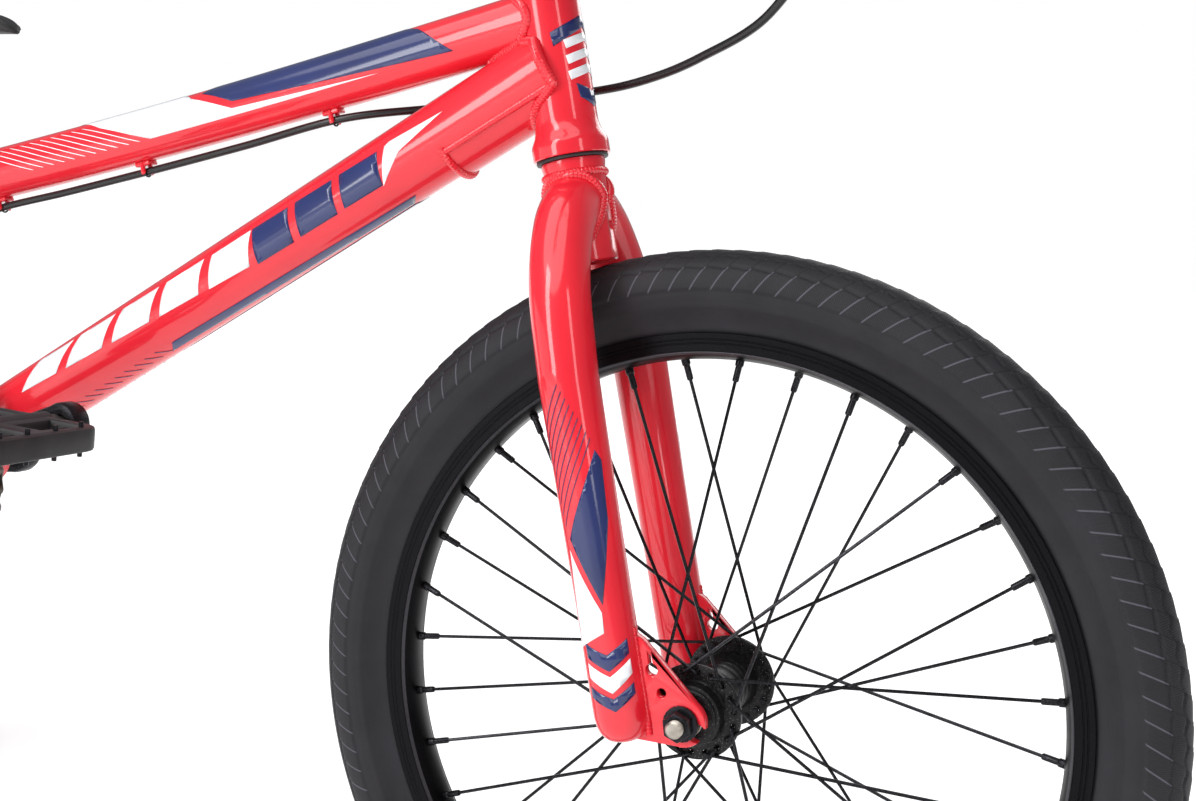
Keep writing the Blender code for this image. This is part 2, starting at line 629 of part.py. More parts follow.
def make_seat_clamp(seat_at):
    """The clamp at the seat tube's top, with its two ears and slot at the back."""
    high, low = SEAT_TUBE_LENGTH + 0.0010, SEAT_TUBE_LENGTH - 0.0130
    outer = SEAT_TUBE_RADIUS + 0.0035
    clamp = collar("seat_clamp", outer, SEAT_TUBE_RADIUS + GAP, low, high, BLACK_METAL, None, seat_at)
    ears_at = seat_at @ Matrix.Translation((0, outer + 0.0030, (low + high) / 2))
    ears = block("seat_clamp_ears", (0.0160, 0.0110, high - low), None, None, ears_at, helper=True)
    slot = block("seat_clamp_slot", (0.0020, 0.0200, 0.0300), None, None, ears_at, helper=True)
    cut(join(clamp, ears), slot)


def make_rear_triangle(seat_shape, shell_shape):
    """A chainstay with its dropout and a seatstay with its brake boss on each side."""
    drop_inner = REAR_HUB_WIDTH / 2
    for side, label in ((1, "left"), (-1, "right")):
        axle_y = side * (drop_inner + DROPOUT_THICKNESS / 2)
        middle = Vector((REAR_AXLE.x + TYRE_RADIUS * 0.93, side * CHAINSTAY_SPREAD, BRACKET.z - 0.0050))
        low_end = REAR_AXLE + Vector((0.0300, axle_y, 0.0020))
        low_line = [BRACKET + Vector((0, side * 0.0270, 0)), middle, low_end]
        path = spline_through(low_line, 2)
        stay = tube(f"chainstay_{label}", path, STAY_RADIUS, PAINT, sides=10, wall=STAY_WALL)
        outline = (arc((0, 0), 0.0150, 110, 270, 6) + [(0.0280, -0.0080), (0.0360, 0.0080), (0.0240, 0.0330)])
        face = Matrix.Translation(REAR_AXLE + Vector((0, axle_y, 0))) @ Matrix.Rotation(math.pi / 2, 4, "X")
        dropout = plate(f"rear_dropout_{label}", outline, DROPOUT_THICKNESS, None, None, face, helper=True)
        slot = rod(f"rear_axle_slot_{label}", AXLE_RADIUS + GAP, -0.0100, 0.0100, None, None, face, 12, True)
        cut(join(stay, dropout), shell_shape, slot)
        path = seatstay_path(side)
        seatstay = tube(f"seatstay_{label}", path, SEATSTAY_RADIUS, PAINT, sides=10, wall=STAY_WALL)
        room = DROPOUT_THICKNESS + 2 * GAP
        plug = plate(f"dropout_shape_{label}", outline, room, None, None, face, helper=True)
        boss = rod(f"brake_boss_{label}", BRAKE_BOSS_RADIUS, 0.0040, BRAKE_STAND_OFF + BRAKE_ARM_THICKNESS,
                   None, None, brake_pivot(side), 12, True)
        cut(join(seatstay, boss), seat_shape, plug)


def seatstay_ends():
    """The seatstay's ends in the centre plane, its direction upwards and the one square to it, outwards."""
    high = TOP_TUBE_BACK + Vector((0, 0, -0.0100))
    low = REAR_AXLE + Vector((0.0200, 0, 0.0300))
    along = (high - low).normalized()
    return high, low, along, Vector((-along.z, 0, along.x))


def brake_pivot(side):
    """Where a brake arm turns: X runs up the stay, Y to the left and Z away from the stay."""
    high, low, along, outward = seatstay_ends()
    stand_off = (low - REAR_AXLE).dot(outward) + BRAKE_STAND_OFF
    reach = math.sqrt(((RIM_BED_RADIUS + RIM_EDGE_RADIUS) / 2) ** 2 - stand_off**2) - BRAKE_PAD_HEIGHT
    centre = low + along * (reach - (low - REAR_AXLE).dot(along))
    return frame_on(centre + Vector((0, side * SEATSTAY_SPREAD, 0)), outward, along)


def seatstay_path(side):
    high, low, along, _ = seatstay_ends()
    share = (high - brake_pivot(side).translation).dot(along) / (high - low).length
    turn_in = high.lerp(low, share * 0.45)
    boss = high.lerp(low, share)
    outside = side * (REAR_HUB_WIDTH + DROPOUT_THICKNESS) / 2  # clear of the chain
    points = [high + Vector((0, side * 0.0080, 0)), turn_in + Vector((0, side * SEATSTAY_SPREAD * 0.92, 0)),
              boss + Vector((0, side * SEATSTAY_SPREAD, 0)), boss.lerp(low, 0.6) + Vector((0, outside, 0)),
              low + Vector((0, outside, 0))]
    return spline_through(points, 2)


# Fork and steering

def fork_leg_path(side, shorten):
    """A fork leg's centre line, from the neck out round the tyre and straight down."""
    low = shorten - FORK_LEG_OVERRUN
    spread = FORK_LEG_SPREAD
    points = [(0, 0.10 * spread, HEAD_LOW - 0.0240), (0, 0.52 * spread, HEAD_LOW - 0.0420),
              (0, 0.86 * spread, HEAD_LOW - 0.0760), (0, spread, HEAD_LOW - 0.1250)]
    path = spline_through([(x, side * y, z) for x, y, z in points], 2)
    return path + [Vector((0, side * spread, low + rise)) for rise in (0.0120, 0.0035, 0)]


def fork_leg(name, side, wall):
    """One leg, or with a wall the hollow inside it."""
    path = fork_leg_path(side, wall)
    full = [FORK_LEG_TOP_RADIUS] * (len(path) - 4) + [FORK_LEG_RADIUS] * 2
    radii = [r - wall for r in full] + [(FORK_LEG_RADIUS - wall) * 0.85, (FORK_LEG_RADIUS - wall) * 0.4]
    return tube(name, path, radii, None, STEERING_AXIS, None, 12, helper=True)


def fork_dropout(label, side):
    """The plate between a leg's foot and the axle, with its slot open ahead and below."""
    middle = side * (FRONT_HUB_WIDTH + DROPOUT_THICKNESS) / 2
    face = Matrix.Translation((0, middle, 0)) @ Matrix.Rotation(math.pi / 2, 4, "X")
    round_axle = arc((FORK_RAKE, 0), FORK_PLATE_RADIUS, 35, -110, 7)
    outline = [(0, 0.0560), (0.0150, 0.0500)] + round_axle + [(0, -0.0060)]
    holes = [arc((0.0215, 0.0300), 0.0032, 0, 320, 8), arc((0.0250, 0.0170), 0.0024, 0, 320, 8)]
    outer = plate(f"fork_dropout_{label}", outline, DROPOUT_THICKNESS, None, STEERING_AXIS, face, holes, True)
    at_axle = face @ Matrix.Translation((FORK_RAKE, 0, 0))
    name, past = f"fork_axle_hole_{label}", 0.0100
    hole = rod(name, AXLE_RADIUS + GAP, -past, past, None, STEERING_AXIS, at_axle, 12, True)
    length = 2 * FORK_PLATE_RADIUS
    open_way = at_axle @ Matrix.Rotation(math.radians(-38), 4, "Z") @ Matrix.Translation((length / 2, 0, 0))
    size = (length, 2 * (AXLE_RADIUS + GAP) * 0.96, 0.0200)
    return outer, hole, block(f"fork_slot_{label}", size, None, STEERING_AXIS, open_way, helper=True)


def make_fork():
    """Steerer, legs and dropouts as one hollow weldment."""
    neck_top = HEAD_LOW - SEAL_HEIGHT - 2 * GAP
    neck_low = HEAD_LOW - NECK_LENGTH
    profile = [(0, STEERER_TOP), (STEERER_RADIUS, STEERER_TOP), (STEERER_RADIUS, neck_top),
               (NECK_RADIUS + 0.0010, neck_top), (NECK_RADIUS, neck_top - 0.0080),
               (NECK_RADIUS, neck_low), (0, neck_low)]
    fork = turned("fork", profile, PAINT, STEERING_AXIS)
    bore_profile = [(0, 1.01 * STEERER_TOP), (STEERER_RADIUS - STEERER_WALL, 1.01 * STEERER_TOP),
                    (STEERER_RADIUS - STEERER_WALL, neck_low - 0.0100), (0, neck_low - 0.0100)]
    bore = turned("steerer_bore", bore_profile, None, STEERING_AXIS, helper=True)
    across = Matrix.Translation((0, 0, neck_low + NECK_HOLE_RISE)) @ Matrix.Rotation(math.pi / 2, 4, "Y")
    brake_hole = rod("neck_hole", NECK_HOLE_RADIUS, -0.03, 0.03, None, STEERING_AXIS, across, 8, True)
    plates = [fork_dropout(label, side) for label, side in (("left", 1), ("right", -1))]
    join(fork, fork_leg("fork_leg_left", 1, 0), fork_leg("fork_leg_right", -1, 0))
    join(fork, *[outer for outer, hole, way in plates])
    cut(fork, *[hole for outer, hole, way in plates], *[way for outer, hole, way in plates])
    cut(fork, fork_leg("fork_bore_left", 1, FORK_LEG_WALL), fork_leg("fork_bore_right", -1, FORK_LEG_WALL))
    smooth(cut(fork, bore, brake_hole))
    ring = STEERER_RADIUS + GAP
    collar("crown_seal", SEAL_RADIUS, ring, neck_top + GAP, HEAD_LOW - GAP, BLACK_PLASTIC, STEERING_AXIS)
    cover_low = HEAD_HIGH + GAP
    cover_high = cover_low + COVER_HEIGHT
    collar("headset_cover", HEAD_RING_RADIUS, ring, cover_low, cover_high, BLACK_METAL, STEERING_AXIS)
    spacer_low = cover_high + GAP
    spacer_high = spacer_low + SPACER_HEIGHT
    collar("headset_spacer", NECK_RADIUS, ring, spacer_low, spacer_high, BLACK_METAL, STEERING_AXIS)


def make_stem():
    """The stem, its faceplate and the cap over the steerer."""
    outer = STEERER_RADIUS + STEM_WALL
    low, high = STEM_LOW + GAP, STEERER_TOP + 0.0010
    middle = (low + high) / 2
    height = high - low
    stem = rod("stem", outer, low, high, BLACK_METAL, STEERING_AXIS, None, ROUND)
    reach = Matrix.Translation((STEM_REACH / 2, 0, middle))
    size = (STEM_REACH, STEM_WIDTH, height * 0.86)
    body = block("stem_body", size, None, STEERING_AXIS, reach, 0.0020, True)
    at_bar = Matrix.Translation((STEM_REACH, 0, STEM_MIDDLE)) @ SIDEWAYS
    bar_hole = rod("stem_bar_hole", BAR_RADIUS + GAP, -0.05, 0.05, None, STEERING_AXIS, at_bar, 16, True)
    bore = STEERER_RADIUS + GAP
    hole = rod("stem_steerer_hole", bore, low - 0.01, high + 0.01, None, STEERING_AXIS, None, ROUND, True)
    cut(join(stem, body), hole, bar_hole)
    thickness = BAR_RADIUS + STEM_WALL - GAP
    front = Matrix.Translation((STEM_REACH + GAP + thickness / 2, 0, middle))
    size = (thickness, STEM_WIDTH, height * 0.96)
    cut(block("stem_faceplate", size, BLACK_METAL, STEERING_AXIS, front, 0.0020), bar_hole)
    rod("stem_top_cap", NECK_RADIUS, high + GAP, high + 0.0040, BLACK_METAL, STEERING_AXIS, None, ROUND)


def rounded(corners, reach, steps):
    """A path through corners, each replaced by a curve that starts and ends `reach` from it."""
    corners = [Vector(c) for c in corners]
    path = [corners[0]]
    for before, corner, after in zip(corners, corners[1:], corners[2:]):
        start = corner + (before - corner).normalized() * reach
        end = corner + (after - corner).normalized() * reach
        for i in range(steps + 1):
            t = i / steps
            path.append(start * (1 - t) ** 2 + corner * 2 * t * (1 - t) + end * t**2)
    return path + [corners[-1]]


def bar_half():
    """The bar's corners on the left, in the steering frame."""
    sweep = math.tan(BAR_BACKSWEEP) * (BAR_HALF_WIDTH - BAR_SHOULDER)
    high = STEM_MIDDLE + BAR_RISE
    return [Vector((STEM_REACH, BAR_CENTRE_HALF + 0.0100, STEM_MIDDLE)),
            Vector((STEM_REACH, BAR_SHOULDER, high)),
            Vector((STEM_REACH - sweep, BAR_HALF_WIDTH, high + 0.0030))]


def mirrored(point):
    return Vector((point.x, -point.y, point.z))


def make_handlebar():
    """A high-rise bar with a crossbar, open at both ends, and its grips."""
    half = bar_half()
    path = rounded([mirrored(p) for p in reversed(half)] + half, 0.0280, 3)
    bar = tube("handlebar", path, BAR_RADIUS, BLACK_METAL, STEERING_AXIS, sides=10)
    share = CROSSBAR_RISE / BAR_RISE
    end = half[0].lerp(half[1], share)
    cross = tube("crossbar", [mirrored(end), end], CROSSBAR_RADIUS, None, STEERING_AXIS, sides=8, helper=True)
    stretch = [path[0] + (path[0] - path[1]) * 0.02] + path[1:-1] + [path[-1] + (path[-1] - path[-2]) * 0.02]
    bore = tube("bar_bore", stretch, BAR_RADIUS - BAR_WALL, None, STEERING_AXIS, sides=10, helper=True)
    smooth(cut(join(bar, cross), bore))
    for label, inner, tip in (("left", path[-2], path[-1]), ("right", path[1], path[0])):
        at_end = frame_on(tip, tip - inner)
        bore = BAR_RADIUS + GAP
        flange = GRIP_RADIUS + 0.0040
        profile = [(0, 0.0040), (GRIP_RADIUS - 0.0020, 0.0040), (GRIP_RADIUS, 0.0020),
                   (GRIP_RADIUS, 0.0040 - GRIP_LENGTH),
                   (flange, 0.0030 - GRIP_LENGTH), (flange, -GRIP_LENGTH),
                   (bore, -GRIP_LENGTH), (bore, GAP), (0, GAP)]
        smooth(turned(f"grip_{label}", profile, GRIP_RUBBER, STEERING_AXIS, at_end, 16))


def lever_frame():
    """The brake lever's bracket on the right of the bar: X runs outwards along it, Y towards the fingers."""
    tip, inner = mirrored(bar_half()[2]), mirrored(bar_half()[1])
    out = (tip - inner).normalized()
    fingers = Vector((math.cos(LEVER_TURN), 0, -math.sin(LEVER_TURN)))
    at = tip - out * (GRIP_LENGTH + LEVER_BRACKET_WIDTH / 2 + FREE)
    return frame_on(at, out.cross(fingers), out)


def make_brake_lever():
    at = lever_frame()
    along = at @ Matrix.Rotation(math.pi / 2, 4, "Y")
    half = LEVER_BRACKET_WIDTH / 2
    clamp = BAR_RADIUS + 0.0045
    bracket = rod("brake_lever_bracket", clamp, -half, half, BLACK_METAL, STEERING_AXIS, along, 16)
    body = block("bracket_body", (0.0210, LEVER_OFFSET - 0.0060, 0.0140), None, STEERING_AXIS,
                 at @ Matrix.Translation((-0.0035, LEVER_OFFSET / 2 + 0.0055, 0)), 0.0015, True)
    slot = block("bracket_slot", (0.0500, 0.0200, LEVER_THICKNESS + 2 * GAP), None, STEERING_AXIS,
                 at @ Matrix.Translation((0.0100, LEVER_OFFSET + 0.0020, 0)), helper=True)
    barrel_at = at @ Matrix.Translation((0, BARREL_OFFSET, 0)) @ Matrix.Rotation(-math.pi / 2, 4, "Y")
    barrel = rod("bracket_barrel", 0.0042, 0.0060, BARREL_REACH, None, STEERING_AXIS, barrel_at, 10, True)
    bar_hole = rod("bracket_bar_hole", BAR_RADIUS + GAP, -0.03, 0.03, None, STEERING_AXIS, along, 16, True)
    pivot_at = at @ Matrix.Translation((0, LEVER_OFFSET, 0))
    pin = rod("bracket_pin", LEVER_PIN_RADIUS, -0.0070, 0.0070, None, STEERING_AXIS, pivot_at, 10, True)
    join(bracket, body, barrel)
    cut(bracket, slot, bar_hole)
    join(bracket, pin)
    blade = [(0.018, 0.001), (0.045, 0.012), (LEVER_LENGTH, 0.015), (LEVER_LENGTH + 0.005, 0.021),
             (LEVER_LENGTH, 0.027), (0.042, 0.024), (0.010, 0.010)]
    outline = blade + arc((0, 0), LEVER_BOSS_RADIUS, 120, 300, 8)
    pivot_empty = axis_empty("brake_lever_axis", pivot_at, STEERING_AXIS)
    hole = arc((0, 0), LEVER_PIN_RADIUS + GAP, 0, 330, 11)
    plate("brake_lever", outline, LEVER_THICKNESS, BLACK_METAL, pivot_empty, None, [hole])


# Brake

def make_brake_arm(label, side):
    """A brake arm on its boss, with the pad it presses on the rim."""
    pivot = brake_pivot(side)
    arm_empty = axis_empty(f"brake_arm_{label}_axis", pivot @ Matrix.Translation((0, 0, BRAKE_STAND_OFF)))
    inward = -side
    reach = BRAKE_ARM_LENGTH
    outline = [(x, inward * y) for x, y in
               arc((0, 0), 0.0085, 80, 280, 8) + [(0.030, -0.0080), (reach, 0.0020), (reach + 0.004, 0.0060),
                                                  (reach, 0.0100), (0.030, 0.0045)]]
    hole = arc((0, 0), BRAKE_BOSS_RADIUS + GAP, 0, 330, 11)
    arm = plate(f"brake_arm_{label}", outline, BRAKE_ARM_THICKNESS, BLACK_METAL, arm_empty, None, [hole])
    face = SEATSTAY_SPREAD - RIM_WIDTH / 2 - PAD_GAP  # from the pivot in to the pad's rubber
    inner = Matrix.Translation((BRAKE_PAD_HEIGHT, inward * (face - 0.0050), -0.0080))
    pad = block(f"brake_pad_{label}", (0.0095, 0.0100, 0.0460), None, arm_empty, inner, 0.0015, True)
    stud_at = Matrix.Translation((BRAKE_PAD_HEIGHT, inward * (face - 0.0040) / 2, 0.0005))
    size = (0.0060, face - 0.0060, 0.0060)
    stud = block(f"brake_stud_{label}", size, None, arm_empty, stud_at, helper=True)
    return join(arm, stud, pad)


def make_cable():
    """The rear brake's housing: lever, round the left of the head tube, along the top tube, to the brake."""
    lever_at = STEERING @ lever_frame()
    out = (lever_at.to_3x3() @ Vector((1, 0, 0))).normalized()
    start = lever_at @ Vector((-BARREL_REACH - 3 * GAP, BARREL_OFFSET, 0))
    loop = [start, start - out * 0.0200] + [Vector(p) for p in HOUSING_LOOP]
    offset = TOP_TUBE_RADIUS + GUIDE_STAND_OFF + HOUSING_RADIUS + GAP
    clipped = []
    for share in (0.72, 0.58, 0.44, 0.30, 0.18):
        at, along, down = top_tube_frame(share)
        clipped.append(at + down * offset)
    route = loop + clipped + [Vector(p) for p in HOUSING_TAIL]
    path = spline_through(route, 2)
    smooth(tube("brake_cable_housing", path, HOUSING_RADIUS, HOUSING_PLASTIC, sides=8))


# Drive

def upright_face(centre, angle=0.0):
    """A plate's frame in the plane of the wheels: X forward, Y up, Z to the right, turned up by angle."""
    turn = Matrix.Rotation(math.pi / 2, 4, "X") @ Matrix.Rotation(angle, 4, "Z")
    return Matrix.Translation(centre) @ turn


def toothed(teeth, pitch_radius):
    """The outline of a chain sprocket."""
    outline = []
    for i in range(teeth):
        for share, rise in ((0, TOOTH_HEIGHT * 0.8), (0.50, -TOOTH_HEIGHT)):
            angle = 2 * math.pi * (i + share) / teeth
            radius = pitch_radius + rise
            outline.append((radius * math.cos(angle), radius * math.sin(angle)))
    return outline


def pitch_radius(teeth):
    return CHAIN_PITCH / (2 * math.sin(math.pi / teeth))


def chain_outline(offset):
    """The chain's run round chainring and cog, `offset` outside its pitch line, about the bottom bracket."""
    back = REAR_AXLE - BRACKET
    big, small = pitch_radius(CHAINRING_TEETH) + offset, pitch_radius(COG_TEETH) + offset
    line = math.degrees(math.atan2(back.z, back.x))
    tangent = math.degrees(math.acos((big - small) / back.length))
    front = arc((0, 0), big, line + tangent - 360, line - tangent, 22)
    rear = arc((back.x, back.z), small, line - tangent, line + tangent, 9)
    return front + rear


def make_chain():
    centre = BRACKET + Vector((0, -CHAIN_LINE, 0))
    face = upright_face(centre)
    half = CHAIN_PLATE / 2
    band = plate("chain", chain_outline(half), CHAIN_WIDTH, STEEL, None, face, [chain_outline(-half)])
    channel = RING_THICKNESS + 2 * TOOTH_CLEAR
    groove = plate("chain_groove", chain_outline(TOOTH_HEIGHT), channel, None, None, face,
                   [chain_outline(-CHAIN_PLATE)], True)
    cut(band, groove)


def make_drive():
    """Cartridge, spindle, cranks, chainring, freewheel and chain."""
    along = Matrix.Translation(BRACKET) @ SIDEWAYS
    inner = SPINDLE_RADIUS + GAP
    half = SHELL_WIDTH / 2
    collar("bottom_bracket_cartridge", SHELL_BORE_RADIUS - GAP, inner, -half - 0.0020, half + 0.0020,
           BLACK_METAL, None, along, 24)
    reach = CRANK_FACE + CRANK_THICKNESS + 0.0040
    rod("crank_spindle", SPINDLE_RADIUS, -reach, reach, STEEL, None, along, 16)
    windows = [arc((0.0560 * math.cos(a), 0.0560 * math.sin(a)), 0.0150, 0, 300, 5)
               for a in [CRANK_ANGLE + 2 * math.pi * (i + 0.5) / 5 for i in range(5)]]
    hole = arc((0, 0), SPINDLE_RADIUS + 2 * GAP, 0, 337.5, 15)
    ring_face = upright_face(BRACKET + Vector((0, -CHAIN_LINE, 0)))
    radius = pitch_radius(CHAINRING_TEETH)
    teeth = toothed(CHAINRING_TEETH, radius)
    plate("chainring", teeth, RING_THICKNESS, BLACK_METAL, None, ring_face, windows + [hole])
    for side, label, angle in ((-1, "right", CRANK_ANGLE), (1, "left", CRANK_ANGLE + math.pi)):
        middle = side * (CRANK_FACE + CRANK_THICKNESS / 2)
        face = upright_face(BRACKET + Vector((0, middle, 0)), angle)
        outline = arc((0, 0), CRANK_BOSS_RADIUS, 85, 275, 10)
        outline += arc((CRANK_LENGTH, 0), CRANK_END_RADIUS, -85, 85, 8)
        pedal_hole = arc((CRANK_LENGTH, 0), PEDAL_SPINDLE_RADIUS + GAP, 0, 330, 11)
        plate(f"crank_arm_{label}", outline, CRANK_THICKNESS, BLACK_METAL, None, face, [hole, pedal_hole])
        pedal_at = BRACKET + CRANK_LENGTH * Vector((math.cos(angle), 0, math.sin(angle)))
        make_pedal(label, side, pedal_at)
    freewheel_at = Matrix.Translation(REAR_AXLE + Vector((0, -CHAIN_LINE, 0)))
    bore = arc((0, 0), DUST_CAP_RADIUS + 3 * GAP, 0, 337.5, 15)
    small = pitch_radius(COG_TEETH)
    cog_face = upright_face(REAR_AXLE + Vector((0, -CHAIN_LINE, 0)))
    cog = plate("freewheel", toothed(COG_TEETH, small), RING_THICKNESS, STEEL, None, cog_face, [bore])
    body = collar("freewheel_body", small - 0.0065, DUST_CAP_RADIUS + 3 * GAP, -0.0038, 0.0036, None, None,
                  freewheel_at @ SIDEWAYS)
    join(cog, as_helper(body))
    make_chain()


def make_pedal(label, side, centre):
    """A platform pedal and the spindle it turns on."""
    inner = CRANK_FACE + CRANK_THICKNESS + PEDAL_OFFSET
    outer = inner + PEDAL_WIDTH
    outwards = Matrix.Translation(centre) @ Matrix.Rotation(-side * math.pi / 2, 4, "X")
    start, end = CRANK_FACE + 0.0010, outer - 0.0060
    rod(f"pedal_spindle_{label}", PEDAL_SPINDLE_RADIUS, start, end, STEEL, None, outwards, 12)
    middle = centre + Vector((0, side * (inner + outer) / 2, 0))
    length, width = PEDAL_LENGTH / 2, PEDAL_WIDTH / 2
    corner = 0.0140
    half = [(length - corner, -width), (length, corner - width),
            (length, width - corner), (length - corner, width)]
    outline = half + [(-x, -y) for x, y in half]
    window = [(0.0140, 0.0100 - width), (length - 0.0100, 0.0160 - width), (length - 0.0100, width - 0.0160),
              (0.0140, width - 0.0100)]
    holes = [window, [(-x, -y) for x, y in window]]
    at_middle = Matrix.Translation(middle)
    body = plate(f"pedal_{label}", outline, PEDAL_THICKNESS, BLACK_PLASTIC, None, at_middle, holes)
    low, high = inner - 0.0040, outer + 0.0010
    boss = rod(f"pedal_boss_{label}", PEDAL_BOSS_RADIUS, low, high, None, None, outwards, 14, True)
    bore = rod(f"pedal_bore_{label}", PEDAL_SPINDLE_RADIUS + GAP, inner - 0.0100, outer - 0.0050, None, None,
               outwards, 12, True)
    cut(join(body, boss), bore)


# Seat

def make_seat():
    """Post with its rail clamp, rails and saddle."""
    post_at = frame_on(BRACKET, SEAT_UP)
    low, high = SEAT_TUBE_LENGTH - SEAT_POST_INSERT, SEAT_TUBE_LENGTH + SEAT_POST_EXPOSED
    post = rod("seat_post", SEAT_POST_RADIUS, low, high, BLACK_METAL, None, post_at, 16)
    top = BRACKET + SEAT_UP * high
    clamp_at = Matrix.Translation(top + Vector((0, 0, 0.0030)))
    size = (0.0400, 2 * RAIL_SPREAD + 0.0140, 0.0200)
    clamp = block("seat_clamp_head", size, None, None, clamp_at, 0.0020, True)
    rail_z = top.z + 0.0060
    centre = Vector((top.x, 0, rail_z))
    half = [(-0.0950, RAIL_SPREAD * 1.5, 0.0200), (-0.0550, RAIL_SPREAD, 0), (0.0500, RAIL_SPREAD, 0),
            (0.1000, 0.0100, 0.0180)]
    line = half + [(x, -y, z) for x, y, z in reversed(half)]
    path = rounded([centre + Vector(p) for p in line], 0.0120, 2)
    tube("saddle_rails", path, RAIL_RADIUS, STEEL, sides=8)
    groove = tube("rail_groove", path, RAIL_RADIUS + GAP, sides=8, helper=True)
    cut(join(post, clamp), groove)
    make_saddle(centre + Vector((0, 0, 0.0200 + RAIL_RADIUS + GAP)))


def make_saddle(base):
    """A slim race saddle, widest at the back, as a smooth closed form on a flat base."""
    mesh = bpy.data.meshes.new("saddle")
    bm = bmesh.new()
    bmesh.ops.create_cube(bm, size=1.0)
    bmesh.ops.subdivide_edges(bm, edges=bm.edges[:], cuts=2, use_grid_fill=True)
    for vert in bm.verts:
        x, y, z = vert.co
        along = x + 0.5
        width = SADDLE_WIDTH * (1.0 - 0.72 * min(1, along * 1.6) ** 1.2)
        vert.co = ((along - 0.44) * SADDLE_LENGTH, y * width * (1.1 if z < 0 else 0.9),
                   (z + 0.5) * SADDLE_THICKNESS + 0.006 * (2 * along - 1) ** 2)
    bm.to_mesh(mesh)
    bm.free()
    saddle = place("saddle", mesh, SADDLE_COVER, None, Matrix.Translation(base))
    rounding = saddle.modifiers.new("Soft form", "SUBSURF")
    rounding.levels = rounding.render_levels = 1
    saddle.data.shade_smooth()


if __name__ == "__main__":
    clear_scene()
    STEERING_AXIS = axis_empty("steering_axis", STEERING)
    make_wheel("front", FRONT_AXLE, FRONT_HUB_WIDTH)
    make_wheel("rear", REAR_AXLE, REAR_HUB_WIDTH)
    make_axle("front", FRONT_AXLE, FRONT_HUB_WIDTH)
    make_axle("rear", REAR_AXLE, REAR_HUB_WIDTH)
    head_shape = make_head_tube()
    seat_shape, shell_shape = make_front_triangle(head_shape)
    make_rear_triangle(seat_shape, shell_shape)
    make_fork()
    make_stem()
    make_handlebar()
    make_brake_lever()
    make_brake_arm("left", 1)
    make_brake_arm("right", -1)
    make_cable()
    make_drive()
    make_seat()
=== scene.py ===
"""The looks of a BMX race bicycle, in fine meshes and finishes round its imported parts.

Metres. +X points forward, +Y to the rider's left and +Z up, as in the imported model. Places come from
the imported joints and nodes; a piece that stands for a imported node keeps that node's sizes.
"""

import json
import math

import bmesh
import bpy
import numpy as np
from mathutils import Matrix, Vector


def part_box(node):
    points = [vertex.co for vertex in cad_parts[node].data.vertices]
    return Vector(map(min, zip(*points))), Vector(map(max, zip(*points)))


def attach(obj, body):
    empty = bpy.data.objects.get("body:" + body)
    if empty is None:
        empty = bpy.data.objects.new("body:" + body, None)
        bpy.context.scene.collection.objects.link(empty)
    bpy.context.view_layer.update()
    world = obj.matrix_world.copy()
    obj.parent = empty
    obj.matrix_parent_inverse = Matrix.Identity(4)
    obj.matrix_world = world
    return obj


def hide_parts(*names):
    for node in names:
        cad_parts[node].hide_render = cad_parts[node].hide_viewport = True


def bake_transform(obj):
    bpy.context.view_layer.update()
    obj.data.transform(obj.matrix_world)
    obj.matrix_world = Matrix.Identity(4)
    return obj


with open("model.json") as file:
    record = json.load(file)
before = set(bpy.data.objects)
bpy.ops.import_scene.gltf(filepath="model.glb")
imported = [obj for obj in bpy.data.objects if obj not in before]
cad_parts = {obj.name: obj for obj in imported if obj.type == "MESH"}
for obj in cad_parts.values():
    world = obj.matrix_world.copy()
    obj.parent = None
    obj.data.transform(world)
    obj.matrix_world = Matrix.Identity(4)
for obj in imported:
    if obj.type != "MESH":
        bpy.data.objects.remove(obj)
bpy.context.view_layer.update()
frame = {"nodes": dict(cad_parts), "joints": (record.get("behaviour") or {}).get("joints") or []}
JOINTS = {joint["name"]: joint for joint in frame["joints"]}
NODES = frame["nodes"]


def joint_at(name):
    return Vector(JOINTS[name]["pos_m"])


def joint_axis(name):
    return Vector(JOINTS[name]["axis"]).normalized()


def reach(node, origin, axis):
    """How far a node lies along an axis, least and most, measured from origin."""
    places = [(vert.co - origin).dot(axis) for vert in NODES[node].data.vertices]
    return min(places), max(places)


def girth(node, origin, axis):
    """A node's greatest distance from an axis."""
    offsets = [vert.co - origin for vert in NODES[node].data.vertices]
    return max((offset - axis * offset.dot(axis)).length for offset in offsets)


LEFT = Vector((0, 1, 0))
RIGHT = Vector((0, -1, 0))
UP = Vector((0, 0, 1))

# Wheels
FRONT_AXLE = joint_at("front_wheel_spin")
REAR_AXLE = joint_at("rear_wheel_spin")
TYRE_RADIUS = FRONT_AXLE.z
TYRE_SECTION = 0.0228
BEAD_RADIUS = 0.2030
RIM_EDGE_RADIUS = BEAD_RADIUS + 0.0060
RIM_BED_RADIUS = BEAD_RADIUS - 0.0050
RIM_INNER_RADIUS = BEAD_RADIUS - 0.0093
RIM_WIDTH = 0.0270
SPOKES = 36
SPOKE_RADIUS = 0.0010
SPOKE_CROSSES = 3
SPOKE_PHASE = -1.66  # degrees from straight up to the first spoke end
FLANGE_RADIUS = 0.0268
FLANGE_HALF_SPACING = 0.0329
FLANGE_THICKNESS = 0.0030
HUB_BARREL_RADIUS = 0.0165
DUST_CAP_RADIUS = 0.0175
AXLE_RADIUS = 0.0048
NUT_HEX_RADIUS = 0.0082
NUT_FLANGE_RADIUS = 0.0100
HUB_HALVES = {"front": 0.0500, "rear": 0.0550}  # from the centre plane to a dropout's inner face
DROPOUT_THICKNESS = 0.0060

